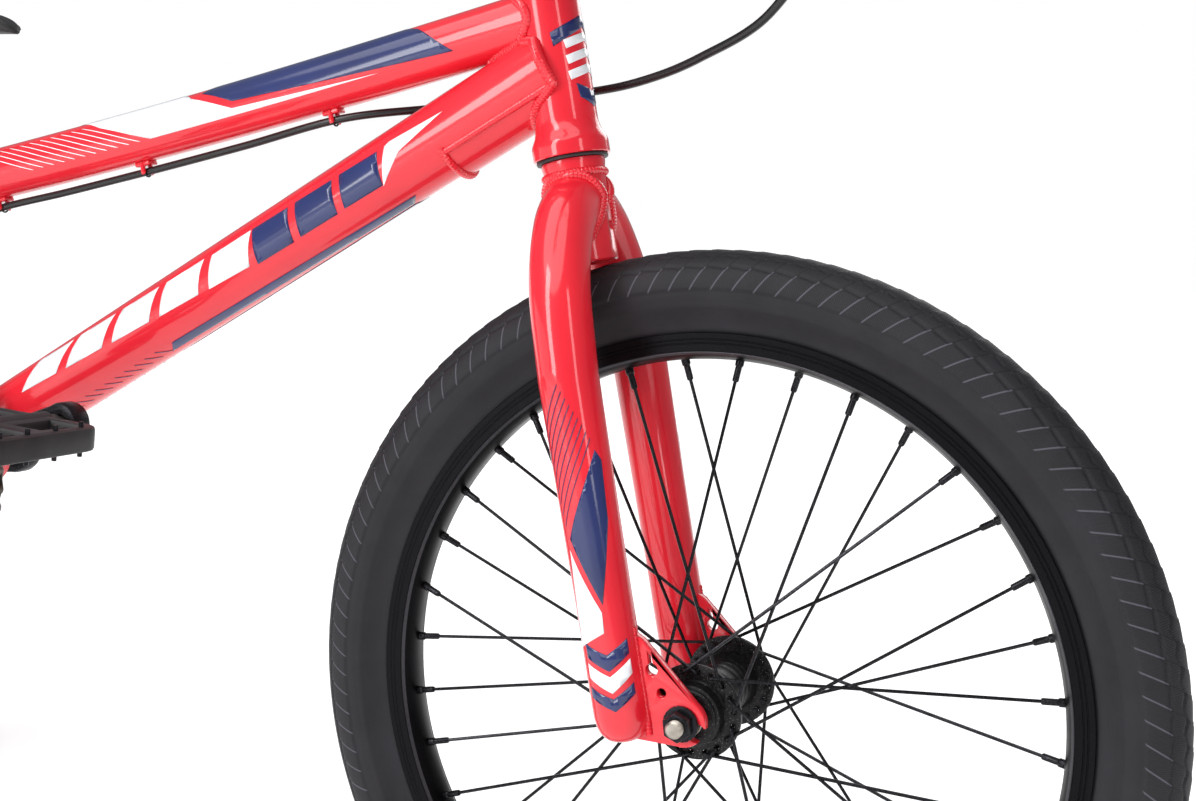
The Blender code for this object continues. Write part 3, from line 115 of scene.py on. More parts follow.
# Steering
STEER_UP = joint_axis("steering")
STEER_POINT = joint_at("steering")
STEER_ORIGIN = STEER_POINT + (FRONT_AXLE - STEER_POINT).dot(STEER_UP) * STEER_UP
FORK_RAKE = (FRONT_AXLE - STEER_ORIGIN).length
STEER_FORWARD = (FRONT_AXLE - STEER_ORIGIN).normalized()
STEERING = Matrix.Translation(STEER_ORIGIN) @ Matrix((STEER_FORWARD, LEFT, STEER_UP)).transposed().to_4x4()
HEAD_LOW, HEAD_HIGH = reach("head_tube", STEER_ORIGIN, STEER_UP)
HEAD_RING_RADIUS = girth("head_tube", STEER_ORIGIN, STEER_UP)
HEAD_WAIST_RADIUS = 0.0185
HEAD_RING_HEIGHT = 0.0085
HEAD_FLARE = 0.0110
STEM_LOW, STEM_HIGH = reach("stem", STEER_ORIGIN, STEER_UP)
STEM_MIDDLE = STEM_LOW + 0.0207
NECK_RADIUS = 0.0175
NECK_LENGTH = 0.0620
NECK_HOLE_RISE = 0.0200
FORK_LEG_SPREAD = 0.0550
FORK_LEG_TOP_RADIUS = 0.0172
FORK_LEG_RADIUS = 0.0158
PLATE_RADIUS = 0.0135  # of the dropout plate, round the axle
PLATE_SHOULDER = [(0, 0.0560), (0.0130, 0.0520), (0.0190, 0.0470)]

# Frame
BRACKET = joint_at("crank_spin")
SEAT_UP = joint_axis("seat_post_slide")
TOP_TUBE_FRONT = STEER_ORIGIN + (HEAD_LOW + 0.0830) * STEER_UP
TOP_TUBE_BACK = BRACKET + 0.1910 * SEAT_UP
TOP_TUBE_DIP = 0.0040
TOP_TUBE_RADIUS = 0.0172
DOWN_TUBE_FRONT = STEER_ORIGIN + (HEAD_LOW + 0.0530) * STEER_UP
DOWN_TUBE_RADIUS = 0.0235
GUSSET_LENGTH = 0.0800
GUSSET_RADIUS = 0.0215
GUSSET_DROP = 0.0045
SEAT_TUBE_RADIUS = 0.0165
SEAT_TUBE_LENGTH = 0.2260
SHELL_RADIUS = 0.0228
SHELL_HALF = 0.0365
STAY_RADIUS = 0.0085
SEATSTAY_RADIUS = 0.0081
GUIDE_SHARES = (0.19, 0.43, 0.71)  # along the top tube, from the seat tube

# Cockpit
STEM_REACH = 0.0500
STEM_WIDTH = 0.0480
BAR_RADIUS = 0.0111
BAR_HALF_WIDTH = 0.3550
BAR_RISE = 0.2000
BAR_SHOULDER = 0.1600
BAR_BACKSWEEP = math.radians(9)
CROSSBAR_SHARE = 0.675  # up the rise of the bar
CROSSBAR_RADIUS = 0.0080
GRIP_LENGTH = 0.1350

# Drive
CHAIN_PITCH = 0.0127
CHAINRING_TEETH = 44
COG_TEETH = 16
CHAIN_LINE = -0.0450
CRANK_LENGTH = 0.1750
CRANK_ANGLE = math.radians(19)
CRANK_FACE = 0.0580
CRANK_THICKNESS = 0.0150

# Brake cable
HOUSING_RADIUS = 0.0025
HOUSING_LOOP = (
    (0.3750, -0.1150, 0.8720), (0.4560, -0.0750, 0.8200), (0.5020, -0.0460, 0.7430),
    (0.4960, -0.0290, 0.6780),
    (0.4690, -0.0100, 0.6370), (0.4250, 0.0100, 0.6140), (0.3880, 0.0230, 0.6010), (0.3530, 0.0290, 0.5930),
    (0.3100, 0.0310, 0.5870), (0.2560, 0.0180, 0.5760))
HOUSING_TAIL = (
    (-0.1150, 0.0180, 0.4690), (-0.1640, 0.0300, 0.4560), (-0.2050, 0.0440, 0.4530),
    (-0.2320, 0.0480, 0.4470))

# Welds
WELD_PITCH = 0.0021  # from one ripple to the next
WELD_RADIUS = 0.0034


# Tread
TREAD_REPEATS = 120
TREAD_HALF_ANGLE = 90.0  # degrees across the section, from the crown to the tread's edge
TREAD_DEPTH = 0.0011
TREAD_MIDDLE = 0.60  # of the way to the edge, where the shoulder blocks meet the crown blocks
TREAD_INNER = 0.345
TREAD_SLANT = 1.74  # repeats that a line leans by from the crown to the edge
FILE_LINES = 11  # in each repeat


# Finishes

def linear(hex_colour):
    """The linear colour of an sRGB hex value."""
    values = [int(hex_colour[i : i + 2], 16) / 255 for i in (0, 2, 4)]
    return [v / 12.92 if v <= 0.04045 else ((v + 0.055) / 1.055) ** 2.4 for v in values] + [1.0]


def add(tree, kind, links=(), stops=(), **settings):
    """A shader node. links feed its inputs, stops colour a ramp, and a setting is a property or an input."""
    node = tree.nodes.new("ShaderNode" + kind)
    for name, value in settings.items():
        if hasattr(node, name):
            setattr(node, name, value)
        else:
            node.inputs[name.replace("_", " ")].default_value = value
    for name, source in dict(links).items():
        tree.links.new(source, node.inputs[name])
    for i, (position, hex_colour) in enumerate(stops):
        element = node.color_ramp.elements[i] if i < 2 else node.color_ramp.elements.new(position)
        element.position = position
        element.color = linear(hex_colour)
    return node


def finish_of(name, hex_colour, **settings):
    """A new material with its sockets set; returns it, its tree, its shader and where on the piece it is."""
    material = bpy.data.materials.new(name)
    material.use_nodes = True
    tree = material.node_tree
    shader = tree.nodes["Principled BSDF"]
    shader.inputs["Base Color"].default_value = linear(hex_colour)
    for key, value in settings.items():
        shader.inputs[key.replace("_", " ")].default_value = value
    return material, tree, shader, add(tree, "TexCoord").outputs["Object"]


def enamel(name, hex_colour, deep):
    """Sprayed enamel under clear lacquer: deep even colour, sharp reflections and a faint orange peel."""
    material, tree, shader, place = finish_of(name, hex_colour, Roughness=0.45, Coat_Weight=1.0,
                                              Coat_Roughness=0.10, Coat_IOR=1.5, Specular_IOR_Level=0.2)
    cloud = add(tree, "TexNoise", {"Vector": place}, Scale=1 / 0.060, Detail=3.0)
    tint = add(tree, "ValToRGB", {"Fac": cloud.outputs["Fac"]}, stops=((0.30, deep), (0.68, hex_colour)))
    tree.links.new(tint.outputs["Color"], shader.inputs["Base Color"])
    peel = add(tree, "TexNoise", {"Vector": place}, Scale=1 / 0.0025, Detail=1.0)
    ripple = add(tree, "Bump", {"Height": peel.outputs["Fac"]}, Strength=0.05, Distance=0.0002)
    tree.links.new(ripple.outputs["Normal"], shader.inputs["Coat Normal"])
    return material


def anodised(name, hex_colour, roughness=0.36, sparkle="3A3A3F"):
    """Anodised aluminium over a bead-blasted face: dark, satin, with a fine grey sparkle of 0.4 mm grain."""
    material, tree, shader, place = finish_of(name, hex_colour, Metallic=0.75, Roughness=roughness,
                                              Specular_IOR_Level=0.25)
    grain = add(tree, "TexNoise", {"Vector": place}, Scale=1 / 0.0008, Detail=2.0)
    worn = add(tree, "TexNoise", {"Vector": place}, Scale=1 / 0.030, Detail=4.0)
    rough = add(tree, "MapRange", {"Value": worn.outputs["Fac"]}, From_Min=0.3, From_Max=0.7,
                To_Min=roughness - 0.06, To_Max=roughness + 0.10)
    tint = add(tree, "ValToRGB", {"Fac": grain.outputs["Fac"]}, stops=((0.35, hex_colour), (0.80, sparkle)))
    blast = add(tree, "Bump", {"Height": grain.outputs["Fac"]}, Strength=0.15, Distance=0.0001)
    tree.links.new(tint.outputs["Color"], shader.inputs["Base Color"])
    tree.links.new(rough.outputs["Result"], shader.inputs["Roughness"])
    tree.links.new(blast.outputs["Normal"], shader.inputs["Normal"])
    return material


def speckled_anodised():
    """Anodised aluminium as cast and tumbled: black, with pale specks of about a millimetre."""
    material, tree, shader, place = finish_of("tumbled_black_aluminium", "1A191B", Metallic=0.6,
                                              Roughness=0.42)
    specks = add(tree, "TexVoronoi", {"Vector": place}, Scale=1 / 0.0013)
    tint = add(tree, "ValToRGB", {"Fac": specks.outputs["Distance"]},
               stops=((0.08, "6E6A68"), (0.26, "1A191B")))
    pits = add(tree, "Bump", {"Height": specks.outputs["Distance"]}, Strength=0.25, Distance=0.0002)
    tree.links.new(tint.outputs["Color"], shader.inputs["Base Color"])
    tree.links.new(pits.outputs["Normal"], shader.inputs["Normal"])
    return material


def steel(name, hex_colour, dull, roughness=0.30):
    """Turned or drawn steel: bright, with fine tool lines and dull patches of handling."""
    material, tree, shader, place = finish_of(name, hex_colour, Metallic=1.0, Roughness=roughness)
    lines = add(tree, "TexNoise", {"Vector": place}, Scale=1 / 0.0006, Detail=3.0)
    patches = add(tree, "TexNoise", {"Vector": place}, Scale=1 / 0.012, Detail=5.0)
    tint = add(tree, "ValToRGB", {"Fac": patches.outputs["Fac"]}, stops=((0.35, dull), (0.62, hex_colour)))
    rough = add(tree, "MapRange", {"Value": patches.outputs["Fac"]}, From_Min=0.3, From_Max=0.7,
                To_Min=roughness + 0.12, To_Max=roughness - 0.05)
    tooling = add(tree, "Bump", {"Height": lines.outputs["Fac"]}, Strength=0.12, Distance=0.0001)
    tree.links.new(tint.outputs["Color"], shader.inputs["Base Color"])
    tree.links.new(rough.outputs["Result"], shader.inputs["Roughness"])
    tree.links.new(tooling.outputs["Normal"], shader.inputs["Normal"])
    return material


def tyre_rubber():
    """Moulded carbon-black rubber: matt charcoal, its tread with pale ribs, painted shade darkening the cuts
    and 1 mm file lines.
    """
    material, tree, shader, place = finish_of("moulded_tyre_rubber", "19181C", Roughness=0.60,
                                              Specular_IOR_Level=0.32)
    bloom = add(tree, "TexNoise", {"Vector": place}, Scale=1 / 0.025, Detail=5.0)
    skin = add(tree, "ValToRGB", {"Fac": bloom.outputs["Fac"]}, stops=((0.35, "161519"), (0.70, "1E1D22")))
    tread = add(tree, "Attribute", attribute_name="tread")
    across = add(tree, "SeparateXYZ", {"Vector": tread.outputs["Vector"]})
    slanted = add(tree, "VectorMath", {0: tread.outputs["Vector"]}, operation="DOT_PRODUCT")
    slanted.inputs[1].default_value = (1.0, TREAD_SLANT, 0.0)
    from_line = add(tree, "Math", {0: slanted.outputs["Value"]}, operation="PINGPONG")
    from_line.inputs[1].default_value = 0.5
    line = add(tree, "MapRange", {"Value": from_line.outputs["Value"]}, From_Min=0.020, From_Max=0.055,
               To_Min=1.0, To_Max=0.0)
    shoulder = add(tree, "MapRange", {"Value": across.outputs["Y"]}, From_Min=TREAD_MIDDLE - 0.01,
                   From_Max=TREAD_MIDDLE + 0.01)
    crown = add(tree, "Math", {1: shoulder.outputs["Result"]}, operation="SUBTRACT")
    crown.inputs[0].default_value = 1.0
    edge = add(tree, "MapRange", {"Value": across.outputs["Y"]}, From_Min=0.97, From_Max=1.0,
               To_Min=1.0, To_Max=0.0)
    block = add(tree, "Math", {0: edge.outputs["Result"], 1: shoulder.outputs["Result"]},
                operation="MULTIPLY")
    rib = add(tree, "Math", {0: line.outputs["Result"], 1: block.outputs["Value"]}, operation="MULTIPLY")
    # Painted shade: the mask of the slanted cuts across the crown, where the colour is darkened to near black
    # as the shade in each groove.
    cut = add(tree, "Math", {0: line.outputs["Result"], 1: crown.outputs["Value"]}, operation="MULTIPLY")
    ribbed = add(tree, "Mix", {"Factor": rib.outputs["Value"]}, data_type="RGBA")
    tree.links.new(skin.outputs["Color"], ribbed.inputs[6])
    ribbed.inputs[7].default_value = linear("4C4B53")
    cut_shaded = add(tree, "Mix", {"Factor": cut.outputs["Value"]}, data_type="RGBA")
    tree.links.new(ribbed.outputs[2], cut_shaded.inputs[6])
    cut_shaded.inputs[7].default_value = linear("0C0B0E")
    filed = add(tree, "Math", {0: across.outputs["X"]}, operation="PINGPONG")
    filed.inputs[1].default_value = 0.5 / FILE_LINES
    within = add(tree, "Math", {0: filed.outputs["Value"], 1: edge.outputs["Result"]}, operation="MULTIPLY")
    grain = add(tree, "TexNoise", {"Vector": place}, Scale=1 / 0.0010, Detail=2.0)
    mould = add(tree, "Bump", {"Height": grain.outputs["Fac"]}, Strength=0.22, Distance=0.0002)
    lines = add(tree, "Bump", {"Height": within.outputs["Value"], "Normal": mould.outputs["Normal"]},
                Strength=0.5, Distance=0.004)
    tree.links.new(cut_shaded.outputs[2], shader.inputs["Base Color"])
    tree.links.new(lines.outputs["Normal"], shader.inputs["Normal"])
    return material


def moulded(name, hex_colour, pale, roughness, grain_size):
    """Moulded nylon, PVC or soft rubber: even dark colour, with the mould's spark-eroded grain."""
    material, tree, shader, place = finish_of(name, hex_colour, Roughness=roughness)
    cloud = add(tree, "TexNoise", {"Vector": place}, Scale=1 / 0.018, Detail=4.0)
    tint = add(tree, "ValToRGB", {"Fac": cloud.outputs["Fac"]}, stops=((0.35, hex_colour), (0.75, pale)))
    grain = add(tree, "TexNoise", {"Vector": place}, Scale=1 / grain_size, Detail=2.0)
    spark = add(tree, "Bump", {"Height": grain.outputs["Fac"]}, Strength=0.30, Distance=0.0002)
    tree.links.new(tint.outputs["Color"], shader.inputs["Base Color"])
    tree.links.new(spark.outputs["Normal"], shader.inputs["Normal"])
    return material


def saddle_leather():
    """Embossed synthetic leather: soft satin black, in pebbles of about 1.5 mm with painted shade darkening
    the creases.
    """
    material, tree, shader, place = finish_of("synthetic_leather", "1B1B1D", Roughness=0.55)
    pebbles = add(tree, "TexVoronoi", {"Vector": place}, feature="DISTANCE_TO_EDGE", Scale=1 / 0.0016)
    # Painted shade: near black in the creases between the pebbles, paler on their tops.
    tint = add(tree, "ValToRGB", {"Fac": pebbles.outputs["Distance"]},
               stops=((0.02, "0E0E0F"), (0.20, "232326")))
    emboss = add(tree, "Bump", {"Height": pebbles.outputs["Distance"]}, Strength=0.5, Distance=0.0004)
    tree.links.new(tint.outputs["Color"], shader.inputs["Base Color"])
    tree.links.new(emboss.outputs["Normal"], shader.inputs["Normal"])
    return material


PAINT = enamel("coral_enamel", "E61F2F", "D8172A")
NAVY = enamel("navy_enamel", "1C2A63", "172354")
WHITE = enamel("white_enamel", "F1F2F5", "E6E8EC")
PURPLE = enamel("purple_enamel", "5A1E52", "4A1746")
BLACK_METAL = anodised("black_anodised_aluminium", "141416")
HUB_METAL = speckled_anodised()
RIM_METAL = anodised("black_anodised_rim", "0B0A0C", 0.34, "161519")
# Painted highlight: a paler grey for the rim's inner corner, where the light catches the edge.
RIM_HIGHLIGHT_METAL = anodised("pale_rim_highlight", "4A494D", 0.34)
WIRE = anodised("blackened_stainless_wire", "121213", 0.30)
BARE_STEEL = steel("turned_steel", "B9B2A8", "8C847A")
CHAIN_STEEL = steel("oiled_chain_steel", "8F8A84", "5A544E", 0.36)
TYRE_RUBBER = tyre_rubber()
GRIP_RUBBER = moulded("kraton_grip_rubber", "151516", "1F1F21", 0.70, 0.0009)
NYLON = moulded("glass_filled_nylon", "1B1A1C", "2A282B", 0.52, 0.0011)
HOUSING = moulded("extruded_pvc_housing", "111113", "18181A", 0.34, 0.0020)
PAD_RUBBER = moulded("brake_pad_rubber", "1D1C1C", "2A2827", 0.75, 0.0010)
LEATHER = saddle_leather()


# Shapes: each is a list of points and a list of faces

def gather(*shapes):
    points, faces = [], []
    for some_points, some_faces in shapes:
        start = len(points)
        points.extend(some_points)
        faces.extend([[start + i for i in face] for face in some_faces])
    return points, faces


def moved(shape, matrix):
    return [tuple(matrix @ Vector(p)) for p in shape[0]], shape[1]


def piece(name, shape, material, body, slot, *nodes):
    """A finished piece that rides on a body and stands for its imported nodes."""
    mesh = bpy.data.meshes.new(name)
    mesh.from_pydata([tuple(p) for p in shape[0]], [], shape[1])
    bm = bmesh.new()
    bm.from_mesh(mesh)
    bmesh.ops.remove_doubles(bm, verts=bm.verts, dist=0.000001)
    bmesh.ops.recalc_face_normals(bm, faces=bm.faces)
    bm.to_mesh(mesh)
    bm.free()
    mesh.materials.append(material)
    mesh.shade_smooth()
    mesh.set_sharp_from_angle(angle=math.radians(35))
    obj = bpy.data.objects.new(name, mesh)
    bpy.context.scene.collection.objects.link(obj)
    if body:
        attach(obj, body)
    if nodes:
        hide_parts(*nodes)
    return obj


def unit(vector):
    return vector / np.linalg.norm(vector)


def rings_along(path, radii, sides=16, first=LEFT, flat=1.0):
    """Rings of points round a path, turning as little as they can. flat squeezes them across `first`."""
    path = np.array([tuple(p) for p in path], float)
    radii = np.broadcast_to(np.array(radii, float), (len(path),))
    tangents = np.gradient(path, axis=0)
    side = np.array(first, float)
    angles = np.linspace(0, 2 * math.pi, sides, endpoint=False)
    rings = []
    for at, tangent, radius in zip(path, tangents, radii):
        tangent = unit(tangent)
        side = unit(side - side @ tangent * tangent)
        other = np.cross(tangent, side)
        rings.append(at + radius * (np.outer(np.cos(angles), side) + flat * np.outer(np.sin(angles), other)))
    return np.array(rings)


def skin(rings, closed=False, caps=True):
    """Faces between rings of points, joined in a loop if closed, or else capped."""
    count, sides = len(rings), len(rings[0])
    points = [tuple(p) for ring in rings for p in ring]
    faces = []
    for i in range(count if closed else count - 1):
        low, high = i * sides, (i + 1) % count * sides
        for j in range(sides):
            k = (j + 1) % sides
            faces.append((low + j, low + k, high + k, high + j))
    if caps and not closed:
        faces.append(tuple(range(sides))[::-1])
        faces.append(tuple((count - 1) * sides + j for j in range(sides)))
    return points, faces


def bar(path, radii, sides=16, first=LEFT, flat=1.0):
    return skin(rings_along(path, radii, sides, first, flat))


def lathe(profile, matrix=Matrix(), steps=64):
    """A piece turned about the matrix's Z: solid if its profile starts on the axis, and otherwise a ring."""
    rings = []
    for i in range(steps):
        a = 2 * math.pi * i / steps
        rings.append([tuple(matrix @ Vector((r * math.cos(a), r * math.sin(a), z))) for r, z in profile])
    return skin(rings, closed=True)


def slab(outline, thickness, matrix=Matrix(), holes=(), bevel=0.0004):
    """A flat piece in the matrix's XY plane, centred on z = 0, with holes through it and rounded edges."""
    curve = bpy.data.curves.new("outline", "CURVE")
    curve.dimensions = "2D"
    curve.fill_mode = "BOTH"
    curve.extrude = thickness / 2 - bevel
    curve.bevel_depth = bevel
    curve.bevel_resolution = 1
    curve.offset = -bevel
    for loop in [outline, *holes]:
        spline = curve.splines.new("POLY")
        spline.points.add(len(loop) - 1)
        for point, (x, y) in zip(spline.points, loop):
            point.co = (x, y, 0, 1)
        spline.use_cyclic_u = True
    obj = bpy.data.objects.new("outline", curve)
    bpy.context.scene.collection.objects.link(obj)
    bpy.context.view_layer.update()
    mesh = bpy.data.meshes.new_from_object(obj.evaluated_get(bpy.context.evaluated_depsgraph_get()))
    shape = [tuple(matrix @ v.co) for v in mesh.vertices], [tuple(f.vertices) for f in mesh.polygons]
    bpy.data.objects.remove(obj)
    bpy.data.curves.remove(curve)
    bpy.data.meshes.remove(mesh)
    return shape


def block(size, matrix=Matrix(), bevel=0.001):
    """A box with rounded edges, centred on the matrix's origin."""
    bm = bmesh.new()
    bmesh.ops.create_cube(bm, size=1.0, matrix=Matrix.Diagonal((*size, 1)))
    bmesh.ops.bevel(bm, geom=bm.edges[:], offset=bevel, segments=3, profile=0.5, affect="EDGES")
    shape = [tuple(matrix @ v.co) for v in bm.verts], [tuple(v.index for v in f.verts) for f in bm.faces]
    bm.free()
    return shape


def arc(centre, radius, start, end, steps):
    """Points on an arc in the plane, angles in degrees."""
    angles = [math.radians(start + (end - start) * i / steps) for i in range(steps + 1)]
    return [(centre[0] + radius * math.cos(a), centre[1] + radius * math.sin(a)) for a in angles]


def spline_through(points, steps):
    """Points along a smooth curve through the given ones, with `steps` stretches between each pair."""
    points = [Vector(p) for p in points]
    ends = [2 * points[0] - points[1]] + points + [2 * points[-1] - points[-2]]
    path = []
    for before, start, end, after in zip(ends, ends[1:], ends[2:], ends[3:]):
        for step in range(steps):
            t = step / steps
            path.append(
                0.5 * (2 * start + (end - before) * t + (2 * before - 5 * start + 4 * end - after) * t**2
                       + (3 * start - before - 3 * end + after) * t**3)
            )
    return path + [points[-1]]


def rounded(corners, size, steps):
    """A path through corners, each replaced by a curve that starts and ends `size` from it."""
    corners = [Vector(c) for c in corners]
    path = [corners[0]]
    for before, corner, after in zip(corners, corners[1:], corners[2:]):
        start = corner + (before - corner).normalized() * size
        end = corner + (after - corner).normalized() * size
        for i in range(steps + 1):
            t = i / steps
            path.append(start * (1 - t) ** 2 + corner * 2 * t * (1 - t) + end * t**2)
    return path + [corners[-1]]


def frame_on(origin, z_axis, x_hint=LEFT):
    """A matrix at origin whose Z is z_axis and whose X lies as near as it can to x_hint."""
    z = Vector(z_axis).normalized()
    x = (Vector(x_hint) - Vector(x_hint).dot(z) * z).normalized()
    return Matrix.Translation(origin) @ Matrix((x, z.cross(x), z)).transposed().to_4x4()


def upright_face(centre, angle=0.0):
    """A plate's frame in the plane of the wheels: X forward, Y up, Z to the right, turned up by angle."""
    return Matrix.Translation(centre) @ Matrix.Rotation(math.pi / 2, 4, "X") @ Matrix.Rotation(angle, 4, "Z")


# Tubes that meet, and their welds

def off_rod(origin, axis, radius):
    """How far a point lies outside a round tube. radius may change with the place along the axis."""
    origin, axis = np.array(origin), np.array(axis)

    def outside(point):
        offset = point - origin
        along = offset @ axis
        return np.linalg.norm(offset - along * axis) - (radius(along) if callable(radius) else radius)

    return outside


def nearest(*tests):
    """The test for a point outside all of several tubes."""
    return lambda point: min(test(point) for test in tests)


def crossing(line, outside, from_start):
    """Where a line of points comes out of a tube, as a place between two of them."""
    values = [outside(point) for point in line]
    order = range(len(line) - 1) if from_start else range(len(line) - 2, -1, -1)
    for i in order:
        near, far = (values[i], values[i + 1]) if from_start else (values[i + 1], values[i])
        if near <= 0 < far:
            return i + values[i] / (values[i] - values[i + 1])
    return 0.0 if from_start else len(line) - 1.0


def mitred(rings, start=None, end=None, rows=40):
    """Rings whose lines are cut where they leave the tube at the start and enter the one at the end."""
    made = np.empty((rows + 1, rings.shape[1], 3))
    for j in range(rings.shape[1]):
        line = rings[:, j]
        first = crossing(line, start, True) if start else 0.0
        last = crossing(line, end, False) if end else len(line) - 1.0
        for k, at in enumerate(np.linspace(first, last, rows + 1)):
            i = min(int(at), len(line) - 2)
            made[k, j] = line[i] + (line[i + 1] - line[i]) * (at - i)
    return made


def bead(loop, radius=WELD_RADIUS, closed=True):
    """A weld: a row of overlapping ripples along a line of points."""
    loop = np.array([tuple(p) for p in loop], float)
    if closed:
        loop = np.vstack([loop, loop[:1]])
    lengths = np.concatenate([[0], np.cumsum(np.linalg.norm(np.diff(loop, axis=0), axis=1))])
    steps = 5
    count = max(2, int(lengths[-1] / WELD_PITCH)) * steps
    at = np.linspace(0, lengths[-1], count)
    path = np.stack([np.interp(at, lengths, loop[:, k]) for k in range(3)], 1)
    phase = np.arange(count) % steps / steps
    return bar(path, radius * (1.0 - 0.17 * phase**1.5), 12, Vector((0.3, 0.5, 0.8)))


def straight(start, end, count):
    return [Vector(start).lerp(Vector(end), i / count) for i in range(count + 1)]


# Decals: enamel panels that follow a tube, drawn as (metres along, degrees round) outlines

def panel(name, outlines, surface, material, body):
    """Thin enamel shapes that lie on a surface, a function of metres along and degrees round."""
    lift, cell, turn = 0.00022, 0.005, 5.0
    per_degree = cell / turn
    shapes = []
    for outline in outlines:
        bm = bmesh.new()
        bm.faces.new([bm.verts.new((s, a * per_degree, 0)) for s, a in outline])
        for axis in (0, 1):
            places = [vert.co[axis] for vert in bm.verts]
            normal = Vector((axis == 0, axis == 1, 0))
            for i in range(math.ceil(min(places) / cell), math.ceil(max(places) / cell)):
                geometry = bm.verts[:] + bm.edges[:] + bm.faces[:]
                bmesh.ops.bisect_plane(bm, geom=geometry, plane_co=normal * i * cell, plane_no=normal,
                                       dist=1e-7)
        bm.verts.index_update()
        points = []
        for vert in bm.verts:
            at, normal = surface(vert.co.x, vert.co.y / per_degree)
            points.append(at + normal * lift)
        shapes.append((points, [tuple(v.index for v in face.verts) for face in bm.faces]))
        bm.free()
    obj = piece(name, gather(*shapes), material, body, "frame_paint")
    thickness = obj.modifiers.new("Paint", "SOLIDIFY")
    thickness.thickness = 0.0001
    thickness.offset = 0
    return obj


def stripe(start, end, width):
    """A thin slanting line as a four-cornered outline, `width` metres wide along the tube."""
    (s0, a0), (s1, a1) = start, end
    return [(s0, a0), (s0 + width, a0), (s1 + width, a1), (s1, a1)]


def other_side(outlines):
    """The same outlines on the tube's left side."""
    return [[(s, 180 - a) for s, a in outline] for outline in outlines]


# Wheels

WHEEL = Matrix.Rotation(-math.pi / 2, 4, "X") @ Matrix.Rotation(-math.pi / 2, 4, "Z")  # X up, Z to the left


def zigzag(x):
    """A wave of straight runs, from -1 to 1 and back in one unit of x."""
    return 4 * np.abs((x % 1.0) - 0.5) - 1


def tyre_mesh():
    """A tyre with slanted tread blocks, a bead line, an open underside and its places on the tread."""
    around = TREAD_REPEATS * 8
    side = np.linspace(125.0, TREAD_HALF_ANGLE + 2.5, 9)
    degrees = np.concatenate([-side, np.linspace(-TREAD_HALF_ANGLE, TREAD_HALF_ANGLE, 73), side[::-1]])
    turns = np.arange(around) / around
    turn, degree = np.meshgrid(turns, degrees, indexing="ij")
    place = np.abs(degree) / TREAD_HALF_ANGLE
    pattern = turn * TREAD_REPEATS
    in_tread = np.clip((1.0 - place) * 30, 0, 1)
    saw = (pattern + TREAD_SLANT * place) % 1.0 - 0.5
    middle = np.clip(1.6 - np.abs(place - TREAD_MIDDLE - 0.05 * saw) / 0.020, 0, 1)
    inner = np.clip(1.6 - np.abs(place - TREAD_INNER - 0.035 * zigzag(pattern)) / 0.022, 0, 1)
    scallop = (place < TREAD_INNER) * (0.25 + 0.5 * saw)
    depth = in_tread * TREAD_DEPTH * np.maximum(np.maximum(middle * 0.8, inner), scallop)
    depth += (1 - in_tread) * TREAD_DEPTH * 0.8
    side_line = np.clip(1 - np.abs(np.abs(degree) - 112) / 2.5, 0, 1) * 0.0006
    radius = TYRE_SECTION - depth + side_line
    a = np.radians(degree)
    crown = TYRE_RADIUS - TYRE_SECTION
    from_axle = crown + radius * np.cos(a)
    height = radius * np.sin(a)
    tucked = [(RIM_EDGE_RADIUS + 0.0006, RIM_WIDTH / 2 - 0.0022), (BEAD_RADIUS, RIM_WIDTH / 2 - 0.0022)]
    for r, z in tucked:
        from_axle = np.hstack([np.full((around, 1), r), from_axle, np.full((around, 1), r)])
        height = np.hstack([np.full((around, 1), -z), height, np.full((around, 1), z)])
    angle = (turns * 2 * math.pi)[:, None]
    points = np.stack([from_axle * np.cos(angle), from_axle * np.sin(angle), height], -1)
    rows = points.shape[1]
    flat = points.reshape(-1, 3)
    first = np.arange(around)[:, None] * rows + np.arange(rows)[None, :]
    after = np.roll(first, -1, axis=0)
    next_row = np.roll(first, -1, axis=1)
    next_both = np.roll(after, -1, axis=1)
    faces = np.stack([first, after, next_both, next_row], -1).reshape(-1, 4)
    mesh = bpy.data.meshes.new("tyre")
    mesh.from_pydata(flat.tolist(), [], faces.tolist())
    columns = np.arange(around)[:, None] + np.zeros((1, rows))
    across = np.hstack([np.full((around, 2), 1.6), place, np.full((around, 2), 1.6)])
    on_tread = np.stack([columns / 8, across, across * 0], -1)
    after_it = np.stack([(columns + 1) / 8, across, across * 0], -1)
    far, far_after = np.roll(on_tread, -1, axis=1), np.roll(after_it, -1, axis=1)
    corners = np.stack([on_tread, after_it, far_after, far], 2).astype(np.float32)
    mesh.attributes.new("tread", "FLOAT_VECTOR", "CORNER").data.foreach_set("vector", corners.ravel())
    mesh.transform(WHEEL)
    mesh.materials.append(TYRE_RUBBER)
    mesh.shade_smooth()
    return mesh


def rim_shape():
    """A deep box-section rim: square lips, two fine ridges on each side wall and a crowned spoke bed."""
    half = RIM_WIDTH / 2
    side = [(RIM_EDGE_RADIUS, half - 0.0004), (RIM_EDGE_RADIUS - 0.0004, half), (0.2056, half),
            (0.2053, half - 0.0003),
            (0.2049, half - 0.0003), (0.2046, half), (0.2034, half), (0.2031, half - 0.0003),
            (0.2027, half - 0.0003),
            (0.2024, half), (0.1986, half), (0.1981, half - 0.0006)]
    inner = [(RIM_INNER_RADIUS + 0.0020, half - 0.0042), (RIM_INNER_RADIUS, half - 0.0080)]
    bed = [(RIM_BED_RADIUS, half - 0.0030), (RIM_EDGE_RADIUS - 0.0003, half - 0.0017)]
    one = side + inner
    profile = one + [(r, -z) for r, z in reversed(one)] + [(r, -z) for r, z in reversed(bed)] + bed
    return lathe(profile, WHEEL, 216)


